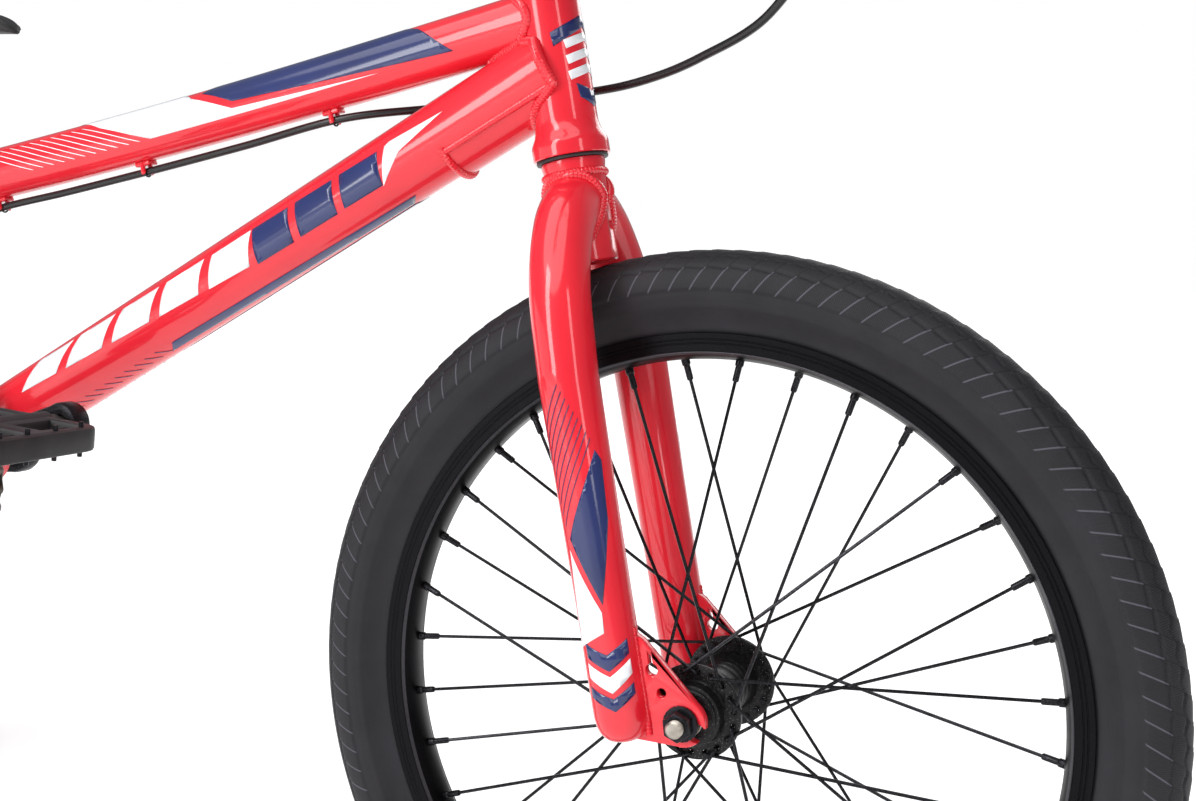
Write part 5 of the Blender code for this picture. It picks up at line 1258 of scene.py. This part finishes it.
def make_stem():
    """A clamped stem: body, faceplate with four bolts, two pinch bolts and the top cap."""
    middle = (STEM_LOW + STEM_HIGH) / 2
    height = STEM_HIGH - STEM_LOW
    clamp = lathe([(0.0197, STEM_HIGH), (0.0203, STEM_HIGH - 0.0006), (0.0203, STEM_LOW + 0.0006),
                   (0.0197, STEM_LOW), (0.0146, STEM_LOW), (0.0146, STEM_HIGH)], STEERING, 72)
    body_at = STEERING @ Matrix.Translation((0.0305, 0, middle))
    body = block((0.0380, STEM_WIDTH, height * 0.84), body_at, 0.0040)
    pinch = block((0.0140, 0.0300, height * 0.80), STEERING @ Matrix.Translation((-0.0160, 0, middle)),
                  0.0030)
    piece("stem_forged_body", gather(clamp, body, pinch), BLACK_METAL, "steering", "black_anodised", "stem")
    thickness = BAR_RADIUS + 0.0057
    front = STEERING @ Matrix.Translation((STEM_REACH + 0.0003 + thickness / 2, 0, middle))
    plate = block((thickness, STEM_WIDTH, height * 0.92), front, 0.0030)
    piece("stem_faceplate_forged", plate, BLACK_METAL, "steering", "black_anodised", "stem_faceplate")
    bolts = []
    for y in (-0.0170, 0.0170):
        for z in (-0.0145, 0.0145):
            at = STEERING @ Matrix.Translation((STEM_REACH + thickness - 0.0012, y, middle + z))
            bolts.append(socket_bolt(at @ Matrix.Rotation(math.pi / 2, 4, "Y"), 0.0040, 0.0016))
    for z in (-0.0100, 0.0100):
        at = STEERING @ Matrix.Translation((-0.0170, -0.0146, middle + z))
        bolts.append(socket_bolt(at @ Matrix.Rotation(math.pi / 2, 4, "X"), 0.0040, 0.0030))
    cap_low, cap_high = reach("stem_top_cap", STEER_ORIGIN, STEER_UP)
    bolts.append(socket_bolt(STEERING @ Matrix.Translation((0, 0, cap_high - 0.0012)), 0.0044, 0.0011))
    piece("stem_bolts", gather(*bolts), BARE_STEEL, "steering", "bare_steel")
    cap = [(0, cap_high), (0.0160, cap_high), (0.0173, cap_high - 0.0010), (0.0173, cap_low), (0, cap_low)]
    piece("stem_cap_turned", lathe(cap, STEERING, 64), BLACK_METAL, "steering", "black_anodised",
          "stem_top_cap")


def lever_frame():
    """The brake lever's bracket on the right of the bar: X runs outwards along it, Y towards the fingers."""
    tip, inner = mirrored(bar_corners()[2]), mirrored(bar_corners()[1])
    out = (tip - inner).normalized()
    fingers = Vector((math.cos(math.radians(35)), 0, -math.sin(math.radians(35))))
    at = tip - out * (GRIP_LENGTH + 0.0070 + 0.0020)
    return STEERING @ frame_on(at, out.cross(fingers), out)


def make_lever():
    """The lever's clamp and body, its blade with a ball end, the pivot screw and the cable's adjuster."""
    at = lever_frame()
    along = at @ Matrix.Rotation(math.pi / 2, 4, "Y")
    ring = lathe([(0.0150, 0.0070), (0.0156, 0.0062), (0.0156, -0.0062), (0.0150, -0.0070), (0.0113, -0.0070),
                  (0.0113, 0.0070)], along, 56)
    cheeks = [slab(arc((0.0, 0.0300), 0.0070, 0, 180, 12)
                   + [(-0.0140, 0.0240), (-0.0140, 0.0120), (0.0070, 0.0120)],
                   0.0034, at @ Matrix.Translation((0, 0, side * 0.0051)), bevel=0.0008) for side in (1, -1)]
    web = block((0.0210, 0.0110, 0.0138), at @ Matrix.Translation((-0.0035, 0.0165, 0)), 0.0020)
    piece("lever_clamp_body", gather(ring, web, *cheeks), BLACK_METAL, "steering", "black_anodised",
          "brake_lever_bracket")
    adjuster = at @ Matrix.Translation((0, 0.0210, 0)) @ Matrix.Rotation(-math.pi / 2, 4, "Y")
    knurled = [(0.0026, 0.0280), (0.0034, 0.0276)]
    for i in range(8):
        z = 0.0270 - i * 0.0014
        knurled += [(0.0042, z), (0.0042, z - 0.0008), (0.0038, z - 0.0011)]
    knurled += [(0.0030, 0.0150), (0.0030, 0.0100), (0.0026, 0.0100)]
    fixings = [lathe(knurled, adjuster, 30)]
    pivot = at @ Matrix.Translation((0, 0.0300, 0))
    fixings.append(socket_bolt(pivot @ Matrix.Translation((0, 0, 0.0066)), 0.0032, 0.0012))
    piece("lever_fixings", gather(*fixings), BARE_STEEL, "steering", "bare_steel")
    blade = [(0.018, 0.001), (0.030, 0.0065), (0.045, 0.012), (0.070, 0.0140), (0.092, 0.015)]
    blade += arc((0.0945, 0.0210), 0.0060, -90, 90, 12) + [(0.070, 0.0258), (0.042, 0.024), (0.024, 0.0175),
                                                           (0.010, 0.010)]
    outline = blade + arc((0, 0), 0.0065, 120, 300, 16)
    hole = arc((0, 0), 0.0028, 0, 345, 23)
    piece("lever_blade", slab(outline, 0.0058, pivot, [hole], 0.0014), BLACK_METAL, "brake_lever",
          "black_anodised",
          "brake_lever")


def make_brake():
    """Two long rim-brake arms with their pads, pad studs and pivot bolts."""
    for side, label in ((1, "left"), (-1, "right")):
        body = f"brake_arm_{label}"
        arm_at = brake_pivot(side)
        inward = -side
        outline = [(x, inward * y) for x, y in arc((0, 0), 0.0085, 80, 280, 20)
                   + [(0.0300, -0.0080), (0.0600, -0.0040), (0.1030, 0.0014)] + arc((0.1050, 0.0060), 0.0044,
                                                                                    -80, 80, 10)
                   + [(0.0600, 0.0070), (0.0300, 0.0045), (0.0140, 0.0070)]]
        hole = arc((0, 0), 0.0043, 0, 345, 23)
        window = [(x, inward * y) for x, y in arc((0.0500, 0.0012), 0.0022, 90, 270, 8)
                  + arc((0.0820, 0.0030), 0.0022, -90, 90, 8)]
        arm = slab(outline, 0.0078, arm_at, [hole, window], 0.0014)
        piece(f"brake_arm_forged_{label}", arm, BLACK_METAL, body, "black_anodised", body)
        face = 0.0400 - RIM_WIDTH / 2 - 0.0028
        pad_at = arm_at @ Matrix.Translation((0.0250, inward * (face - 0.0050), -0.0080))
        pad = [block((0.0092, 0.0096, 0.0454), pad_at, 0.0016)]
        pad += [block((0.0094, 0.0020, 0.0012), pad_at @ Matrix.Translation((0, inward * 0.0038, z)), 0.0004)
                for z in (-0.0120, -0.0040, 0.0040, 0.0120)]
        piece(f"brake_pad_moulded_{label}", gather(*pad), PAD_RUBBER, body, "black_plastic")
        stud = frame_on(arm_at @ Vector((0.0250, inward * (face - 0.0100), 0.0)),
                        arm_at.to_3x3() @ Vector((0, -inward, 0)))
        rod = lathe([(0, face - 0.0080), (0.0030, face - 0.0080), (0.0030, 0), (0, 0)], stud, 20)
        pivot_bolt = socket_bolt(arm_at @ Matrix.Translation((0, 0, 0.0042)), 0.0052, 0.0036)
        piece(f"brake_fixings_{label}", gather(rod, pivot_bolt), BARE_STEEL, body, "bare_steel")


def make_cable():
    """The rear brake's housing: lever, round the left of the head tube, along the top tube, to the brake."""
    lever_at = lever_frame()
    out = (lever_at.to_3x3() @ Vector((1, 0, 0))).normalized()
    start = lever_at @ Vector((-0.0289, 0.0210, 0))
    offset = TOP_TUBE_RADIUS + 0.0034 + HOUSING_RADIUS + 0.0003
    clipped = []
    for share in (0.72, 0.58, 0.44, 0.30, 0.18):
        at, _, down = top_tube_frame(share)
        clipped.append(at + down * offset)
    route = [start, start - out * 0.0200, *HOUSING_LOOP, *clipped, *HOUSING_TAIL]
    path = spline_through(route, 14)
    housing = piece("brake_housing_tube", bar(path, HOUSING_RADIUS, 16), HOUSING, None, "cable_housing",
                    "brake_cable_housing")
    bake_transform(housing)


# Drive

def pitch_radius(teeth):
    return CHAIN_PITCH / (2 * math.sin(math.pi / teeth))


def toothed(teeth, tip, root):
    """The outline of a sprocket: rounded seats for the rollers between pointed teeth."""
    radius = pitch_radius(teeth)
    outline = []
    shape = ((0.0, tip), (0.07, tip - 0.0002), (0.16, tip * 0.35), (0.27, -root * 0.45), (0.38, -root * 0.9),
             (0.5, -root),
             (0.62, -root * 0.9), (0.73, -root * 0.45), (0.84, tip * 0.35), (0.93, tip - 0.0002))
    for i in range(teeth):
        for share, rise in shape:
            a = 2 * math.pi * (i + share) / teeth
            outline.append(((radius + rise) * math.cos(a), (radius + rise) * math.sin(a)))
    return outline


def chain_path():
    """The chain's pitch line round chainring and cog, as points with their distance along it."""
    back = REAR_AXLE - BRACKET
    big, small = pitch_radius(CHAINRING_TEETH), pitch_radius(COG_TEETH)
    line = math.degrees(math.atan2(back.z, back.x))
    tangent = math.degrees(math.acos((big - small) / back.length))
    front = arc((0, 0), big, line + tangent - 360, line - tangent, 160)
    rear = arc((back.x, back.z), small, line - tangent, line + tangent, 60)
    points = np.array(front + rear + front[:1])
    lengths = np.concatenate([[0], np.cumsum(np.linalg.norm(np.diff(points, axis=0), axis=1))])
    return points, lengths


def make_chain():
    """Every link of the chain: inner and outer side plates by turns, with rollers and riveted pins."""
    points, lengths = chain_path()
    links = 2 * round(lengths[-1] / CHAIN_PITCH / 2)
    at = np.arange(links) * lengths[-1] / links
    pins = np.stack([np.interp(at, lengths, points[:, k]) for k in range(2)], 1)
    pitch = float(np.linalg.norm(pins[1] - pins[0]))
    waist = 0.0030
    eye = 0.0041
    plate_line = arc((0, 0), eye, 70, 290, 9) + [(pitch / 2, -waist)] + arc((pitch, 0), eye, -110, 110, 9)
    plate_line += [(pitch / 2, waist)]
    roller = lathe([(0.0038, 0.0022), (0.0038, -0.0022), (0.0018, -0.0022), (0.0018, 0.0022)], steps=14)
    pin = lathe([(0, 0.0040), (0.0016, 0.0040), (0.0019, 0.0036), (0.0019, -0.0036), (0.0016, -0.0040),
                 (0, -0.0040)],
                steps=12)
    inner = [slab(plate_line, 0.0010, Matrix.Translation((0, 0, z)), bevel=0.0002) for z in (0.0022, -0.0022)]
    outer = [slab(plate_line, 0.0010, Matrix.Translation((0, 0, z)), bevel=0.0002) for z in (0.0033, -0.0033)]
    inner_link, outer_link = gather(*inner), gather(*outer)
    shapes = []
    for i in range(links):
        step = pins[(i + 1) % links] - pins[i]
        face = upright_face(BRACKET + Vector((pins[i][0], CHAIN_LINE, pins[i][1])),
                            math.atan2(step[1], step[0]))
        shapes += [moved(outer_link if i % 2 else inner_link, face), moved(roller, face), moved(pin, face)]
    piece("chain_links", gather(*shapes), CHAIN_STEEL, "frame", "chain_steel", "chain")


def make_chainring():
    """Chainring with five windows and its bolts, and the freewheel cog."""
    face = upright_face(BRACKET + LEFT * CHAIN_LINE)
    windows = []
    for i in range(5):
        middle = CRANK_ANGLE + 2 * math.pi * (i + 0.5) / 5
        spread = math.radians(22)
        outer = [(0.0700 * math.cos(a), 0.0700 * math.sin(a))
                 for a in np.linspace(middle - spread, middle + spread, 12)]
        inner = [(0.0400 * math.cos(a), 0.0400 * math.sin(a))
                 for a in np.linspace(middle + spread * 0.62, middle - spread * 0.62, 8)]
        windows.append(outer + inner)
    hole = arc((0, 0), 0.0101, 0, 345, 23)
    ring = slab(toothed(CHAINRING_TEETH, 0.0027, 0.0034), 0.0029, face, windows + [hole], 0.0005)
    boss = lathe([(0.0190, 0.0050), (0.0200, 0.0040), (0.0200, 0.0012), (0.0104, 0.0012), (0.0104, 0.0050)],
                 face, 56)
    piece("chainring_cut", gather(ring, boss), BLACK_METAL, "crank", "black_anodised", "chainring")
    bolts = []
    for i in range(5):
        a = CRANK_ANGLE + 2 * math.pi * i / 5
        bolts.append(socket_bolt(face @ Matrix.Translation((0.0550 * math.cos(a),
                                                            0.0550 * math.sin(a), 0.0014)),
                                 0.0048, 0.0020))
    piece("chainring_bolts", gather(*bolts), BARE_STEEL, "crank", "bare_steel")
    cog_face = upright_face(REAR_AXLE + LEFT * CHAIN_LINE)
    bore = arc((0, 0), 0.0184, 0, 350, 35)
    cog = slab(toothed(COG_TEETH, 0.0027, 0.0034), 0.0029, cog_face, [bore], 0.0005)
    low, high = -0.0036, 0.0038
    shell = lathe([(0.0240, high), (0.0256, high - 0.0010), (0.0256, low + 0.0008), (0.0246, low),
                   (0.0184, low),
                   (0.0184, high)], cog_face, 60)
    notches = [block((0.0030, 0.0040, 0.0012), cog_face @ Matrix.Rotation(2 * math.pi * i / 4, 4, "Z")
                     @ Matrix.Translation((0.0210, 0, high)), 0.0004) for i in range(4)]
    piece("freewheel_cog", gather(cog, shell, *notches), CHAIN_STEEL, "freewheel", "chain_steel", "freewheel")


def make_cranks():
    """Forged crank arms, thick at the spindle and slim at the pedal, with their bolts."""
    for side, label, angle in ((-1, "right", CRANK_ANGLE), (1, "left", CRANK_ANGLE + math.pi)):
        middle = side * (CRANK_FACE + CRANK_THICKNESS / 2)
        face = upright_face(BRACKET + LEFT * middle, angle)
        outline = arc((0, 0), 0.0183, 70, 290, 24) + [(0.0450, -0.0120), (0.1000, -0.0108), (0.1500, -0.0112)]
        outline += arc((CRANK_LENGTH, 0), 0.0138, -110, 110, 20) + [(0.1500, 0.0112), (0.1000, 0.0108),
                                                                    (0.0450, 0.0120)]
        hole = arc((0, 0), 0.0098, 0, 345, 23)
        eye = arc((CRANK_LENGTH, 0), 0.0058, 0, 345, 23)
        arm = slab(outline, CRANK_THICKNESS, face, [hole, eye], 0.0030)
        groove = [(0.0400, -0.0040), (0.1450, -0.0036)] + [(0.1450, 0.0036), (0.0400, 0.0040)]
        raised = slab(groove, 0.0004, face @ Matrix.Translation((0, 0, -side * (CRANK_THICKNESS / 2))),
                      bevel=0.0001)
        piece(f"crank_forged_{label}", gather(arm, raised), BLACK_METAL, "crank", "black_anodised",
              f"crank_arm_{label}")
        outward = frame_on(BRACKET + LEFT * side * (CRANK_FACE + CRANK_THICKNESS), LEFT * side, UP)
        bolt = socket_bolt(outward, 0.0092, 0.0038)
        piece(f"crank_bolt_{label}", bolt, BARE_STEEL, "crank", "bare_steel")


def make_pedals():
    """Platform pedals: an open moulded cage with ribs, a spindle housing and steel pins."""
    for side, label in ((-1, "right"), (1, "left")):
        body = f"pedal_{label}"
        low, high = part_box(body)
        centre = joint_at(f"pedal_{label}_spin")
        middle = Vector((centre.x, (low.y + high.y) / 2, centre.z))
        length, width, thick = 0.0475, 0.0450, 0.0150
        corner = 0.0120
        outline = (arc((length - corner, corner - width), corner, -90, 0, 8)
                   + arc((length - corner, width - corner), corner, 0, 90, 8)
                   + arc((corner - length, width - corner), corner, 90, 180, 8)
                   + arc((corner - length, corner - width), corner, 180, 270, 8))
        windows = []
        for way in (1, -1):
            for y in (-0.0215, 0.0215):
                windows.append([(way * x, y + dy) for x, dy in
                                ((0.0135, -0.0150), (0.0350, -0.0150), (0.0380, -0.0100), (0.0380, 0.0100),
                                 (0.0350, 0.0150), (0.0135, 0.0150))])
        at = Matrix.Translation(middle)
        cage = slab(outline, thick, at, windows, 0.0022)
        outward = frame_on(centre, LEFT * side, UP)
        inner = 0.0730 + 0.0140
        outer = inner + 0.0900
        housing = lathe([(0.0085, outer + 0.0008), (0.0095, outer), (0.0095, inner - 0.0030),
                         (0.0085, inner - 0.0040),
                         (0.0059, inner - 0.0040), (0.0059, outer - 0.0050), (0, outer - 0.0050),
                         (0, outer + 0.0008)],
                        outward, 40)
        ribs = [block((0.0022, 0.0780, 0.0090), at @ Matrix.Translation((x, 0, 0)), 0.0006)
                for x in (0.0260, -0.0260)]
        piece(f"pedal_moulded_{label}", gather(cage, housing, *ribs), NYLON, body, "black_plastic",
              f"pedal_{label}")
        pins = []
        for x in (-0.0415, 0.0415):
            for y in (-0.0320, -0.0110, 0.0110, 0.0320):
                pin = [(0, 0.0108), (0.0012, 0.0108), (0.0015, 0.0105), (0.0015, -0.0105), (0.0012, -0.0108),
                       (0, -0.0108)]
                pins.append(lathe(pin, at @ Matrix.Translation((x, y, 0)), 14))
        piece(f"pedal_pins_{label}", gather(*pins), BLACK_METAL, body, "black_plastic")
        flats = lathe([(0, 0.0870), (0.0074, 0.0870), (0.0074, 0.0780), (0.0066, 0.0740), (0, 0.0740)],
                      outward, 8)
        piece(f"pedal_flats_{label}", flats, BARE_STEEL, "crank", "bare_steel")


# Seat

def make_seat():
    """Post with its rail clamp, bent rails and a slim saddle with stitched edges."""
    post_low = SEAT_TUBE_LENGTH - 0.0800
    post_high = SEAT_TUBE_LENGTH + 0.0560
    profile = [(0, post_high), (0.0136, post_high), (0.0136, post_low + 0.0010), (0.0128, post_low),
               (0, post_low)]
    post = lathe(profile, frame_on(BRACKET, SEAT_UP), 56)
    top = BRACKET + SEAT_UP * post_high
    lower = block((0.0400, 0.0560, 0.0080), Matrix.Translation(top - UP * 0.0020), 0.0030)
    upper = block((0.0340, 0.0520, 0.0060), Matrix.Translation(top + UP * 0.0098), 0.0022)
    piece("seat_post_tube", gather(post, lower, upper), BLACK_METAL, "seat", "black_anodised", "seat_post")
    bolts = [socket_bolt(Matrix.Translation(top + Vector((x, 0, 0.0120))), 0.0040, 0.0022)
             for x in (-0.0110, 0.0110)]
    piece("rail_clamp_bolts", gather(*bolts), BARE_STEEL, "seat", "bare_steel")
    centre = Vector((top.x, 0, top.z + 0.0060))
    half = [(-0.0950, 0.0330, 0.0200), (-0.0550, 0.0220, 0), (0.0500, 0.0220, 0), (0.1000, 0.0100, 0.0180)]
    line = half + [(x, -y, z) for x, y, z in reversed(half)]
    path = rounded([centre + Vector(p) for p in line], 0.0120, 8)
    piece("saddle_rail_wire", bar(path, 0.0035, 20, UP), BARE_STEEL, "seat", "bare_steel", "saddle_rails")
    make_saddle()


def make_saddle():
    """A slim race saddle: a padded cover with a rolled hem."""
    low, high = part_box("saddle")
    length = high.x - low.x
    width = high.y - low.y
    stations = 60
    around = 40
    rings = []
    for i in range(stations + 1):
        share = i / stations
        along = 0.5 - 0.5 * math.cos(math.pi * share)
        end = math.sqrt(max(0.0, 1 - (2 * along - 1) ** 6))
        taper = 1.0 - 0.74 * min(1.0, along * 1.5) ** 1.1
        half = max(0.0004, width / 2 * taper * end)
        rise = 0.0060 * (2 * along - 1) ** 2
        thick = (high.z - low.z - 0.0080) * (0.55 + 0.45 * end)
        ring = []
        for j in range(around):
            a = 2 * math.pi * j / around
            y = half * math.copysign(abs(math.cos(a)) ** 0.75, math.cos(a))
            crown = math.copysign(abs(math.sin(a)) ** 0.85, math.sin(a))
            swell = 0.46 if crown > 0 else 0.42
            channel = 0.0025 * math.exp(-(y / 0.006) ** 2) * (crown > 0.3)
            z = thick * (0.50 + swell * crown) - channel
            ring.append((low.x + 0.0010 + along * (length - 0.0020), y,
                         low.z + 0.0010 + rise * 0.8 + z * (0.25 + 0.75 * end)))
        rings.append(ring)
    cover = piece("saddle_cover_pad", skin(rings), LEATHER, "seat", "saddle_cover", "saddle")
    hem = []
    for j in (2, around // 2 - 2):
        hem.append(bar([Vector(ring[j]) for ring in rings[4:-4]], 0.0007, 8, UP))
    piece("saddle_seam_cord", gather(*hem), GRIP_RUBBER, "seat", "saddle_cover")


# Decals

def make_panels():
    """Plain geometric paintwork: panels, wedges, chevrons and pinstripes, the same on both sides."""
    mm, navy, white, pins = 0.001, [], [], []
    navy.append([(57, -24), (214, 6), (240, 50), (225, 90), (100, 90), (79, 47)])
    white.append([(108, -23), (215, -8), (247, 41), (262, 90), (352, 90), (322, 31), (282, -23)])
    pins += [stripe((290 + 9.2 * i, -23), (338 + 9.2 * i, 44), 1.4) for i in range(11)]
    for label, outlines, paint in (("navy", navy, NAVY), ("white", white, WHITE),
                                   ("pinstripes", pins, WHITE)):
        outlines = [[(s * mm, a) for s, a in outline] for outline in outlines]
        panel(f"top_tube_{label}", outlines + other_side(outlines), top_tube_surface, paint, "frame")
    navy, white, pins = [], [], []
    for i in range(5):
        at = 232 + 43 * i
        lean = 5 + 8 * i / 4
        white.append([(at, -20 + 6 * i), (at + 34, -16 + 6 * i), (at + 28 - lean, 31 + 5 * i),
                      (at - 6 - lean, 30 + 4 * i)])
    for i in range(3):
        at = 118 + 36 * i
        navy.append([(at + 6, -25), (at + 36, -24), (at + 30, 26 + 2 * i), (at, 24 + 2 * i)])
    white.append([(124, -27), (104, 4), (68, 20), (108, 27), (112, 24)])
    navy.append([(323, -75), (120, -88), (113, -68), (316, -57)])
    pins += [stripe((322 + 9.5 * i, -74), (331 + 9.5 * i, -56), 1.3) for i in range(10)]
    for label, outlines, paint in (("navy", navy, NAVY), ("white", white, WHITE),
                                   ("pinstripes", pins, PURPLE)):
        outlines = [[(s * mm, a) for s, a in outline] for outline in outlines]
        panel(f"down_tube_{label}", outlines + other_side(outlines), down_tube_surface, paint, "frame")
    bars = [[(388, 18), (398, 90), (391, 90), (380, 21)], [(358, 52), (354, 90), (345, 90), (350, 56)]]
    badge = [[(383 - 9 * i, 40), (388 - 9 * i, 90), (383 - 9 * i, 90), (378 - 9 * i, 43)] for i in range(3)]
    for label, outlines, paint in (("navy", bars, NAVY), ("white", badge, WHITE)):
        outlines = [[(s * mm, a) for s, a in outline] for outline in outlines]
        panel(f"head_{label}", outlines + other_side(outlines), head_surface, paint, "frame")
    pins = [stripe((190 - 3.9 * i, 5.75 * i), (163 - 6.2 * i, 2.4 * i - 56), 1.3) for i in range(9)]
    navy = [[(153, 52), (147, 64), (115, 58), (95, 42), (70, 20), (107, -29)],
            [(50, -34), (43, 12), (50, 58), (42, 58), (34, 12), (42, -34)],
            [(26, -40), (19, 12), (26, 58), (20, 58), (12, 12), (20, -40)]]
    white = [[(101, -36), (66, 16), (55, 14), (47, -52)], [(39, -36), (31, 12), (39, 58), (31, 58),
                                                           (22, 12), (31, -38)]]
    for side, name in ((-1, "right"), (1, "left")):
        for label, outlines, paint in (("navy", navy, NAVY), ("white", white, WHITE),
                                       ("pinstripes", pins, PURPLE)):
            outlines = [[(s * mm, a) for s, a in outline] for outline in outlines]
            panel(f"fork_{label}_{name}", outlines, lambda s, a, side=side: leg_surface(s, a, side), paint,
                  "steering")


# Camera, light and floor

ROOM_LIGHT = 0.26  # how much the walls of the room give, beside the white backdrop


def make_camera():
    """A long lens low on the bicycle's right, looking up the front wheel at the head tube."""
    camera = bpy.data.objects.new("camera", bpy.data.cameras.new("camera"))
    bpy.context.scene.collection.objects.link(camera)
    azimuth, elevation, roll = math.radians(22.612), math.radians(4.564), math.radians(-6.1)
    back = Vector((math.sin(azimuth) * math.cos(elevation), -math.cos(azimuth) * math.cos(elevation),
                   math.sin(elevation)))
    right = Vector((math.cos(azimuth), math.sin(azimuth), 0))
    turn = Matrix.Rotation(roll, 3, "Y") @ Matrix((right, back.cross(right), back)).transposed()
    camera.matrix_world = Matrix.Translation((0.69975, -0.77200, 0.52485)) @ turn.to_4x4()
    camera.data.sensor_width = 36.0
    camera.data.lens = 43.28
    camera.data.shift_y = -0.0152
    camera.data.clip_start, camera.data.clip_end = 0.01, 100.0
    bpy.context.scene.camera = camera


def softbox(name, place, target, size, power):
    light = bpy.data.lights.new(name, "AREA")
    light.shape = "RECTANGLE"
    light.size, light.size_y = size
    light.energy = power
    obj = bpy.data.objects.new(name, light)
    bpy.context.scene.collection.objects.link(obj)
    obj.location = place
    obj.rotation_euler = (Vector(target) - Vector(place)).to_track_quat("-Z", "Y").to_euler()


def make_studio():
    """A white sweep of floor, an even white surround and three softboxes."""
    scene = bpy.context.scene
    scene.view_settings.view_transform = "Standard"
    world = bpy.data.worlds.new("white_room")
    world.use_nodes = True
    tree = world.node_tree
    surround = tree.nodes["Background"]
    surround.inputs["Color"].default_value = linear("F2F4F8")
    surround.inputs["Strength"].default_value = ROOM_LIGHT
    backdrop = add(tree, "Background", Strength=1.0)
    seen = add(tree, "LightPath")
    mixed = add(tree, "MixShader", {"Fac": seen.outputs["Is Camera Ray"]})
    tree.links.new(surround.outputs["Background"], mixed.inputs[1])
    tree.links.new(backdrop.outputs["Background"], mixed.inputs[2])
    tree.links.new(mixed.outputs["Shader"], tree.nodes["World Output"].inputs["Surface"])
    backdrop.inputs["Color"].default_value = linear("FFFFFF")
    scene.world = world
    floor, _, shader, _ = finish_of("matt_white_paper", "F8F8F8", Roughness=0.9)
    shader.inputs["Emission Color"].default_value = linear("FFFFFF")
    shader.inputs["Emission Strength"].default_value = 0.32
    points = [(-30, -30, 0), (30, -30, 0), (30, 30, 0), (-30, 30, 0)]
    mesh = bpy.data.meshes.new("studio_floor")
    mesh.from_pydata([(x, y, -0.0005) for x, y, _ in points], [], [(0, 1, 2, 3)])
    mesh.materials.append(floor)
    obj = bpy.data.objects.new("studio_floor", mesh)
    scene.collection.objects.link(obj)
    sun = bpy.data.lights.new("overhead_bank", "SUN")
    sun.energy = 2.35
    sun.angle = math.radians(70)
    bank = bpy.data.objects.new("overhead_bank", sun)
    scene.collection.objects.link(bank)
    bank.rotation_euler = Vector((-0.25, -0.55, 1.0)).to_track_quat("Z", "Y").to_euler()
    softbox("left_strip", (-0.9, -2.3, 1.3), (0.35, 0, 0.5), (0.70, 1.9), 36)
    softbox("right_strip", (2.4, -1.6, 1.4), (0.35, 0, 0.5), (0.4, 1.6), 9)
    softbox("back_softbox", (0.5, 3.0, 2.0), (0, 0, 0.5), (2.0, 1.4), 25)


def dress_kept_nodes():
    """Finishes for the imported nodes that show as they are."""
    for name, material in (("headset_lower_bearing", BARE_STEEL), ("headset_upper_bearing", BARE_STEEL),
                           ("bottom_bracket_cartridge", BLACK_METAL), ("crank_spindle", BARE_STEEL),
                           ("pedal_spindle_left", BARE_STEEL), ("pedal_spindle_right", BARE_STEEL)):
        mesh = NODES[name].data
        mesh.materials.clear()
        mesh.materials.append(material)


make_camera()
make_wheels()
make_head_tube()
make_main_tubes()
make_guides()
make_seat_tube()
make_stays()
make_fork()
make_bar()
make_stem()
make_lever()
make_brake()
make_cable()
make_chain()
make_chainring()
make_cranks()
make_pedals()
make_seat()
make_panels()
dress_kept_nodes()
make_studio()
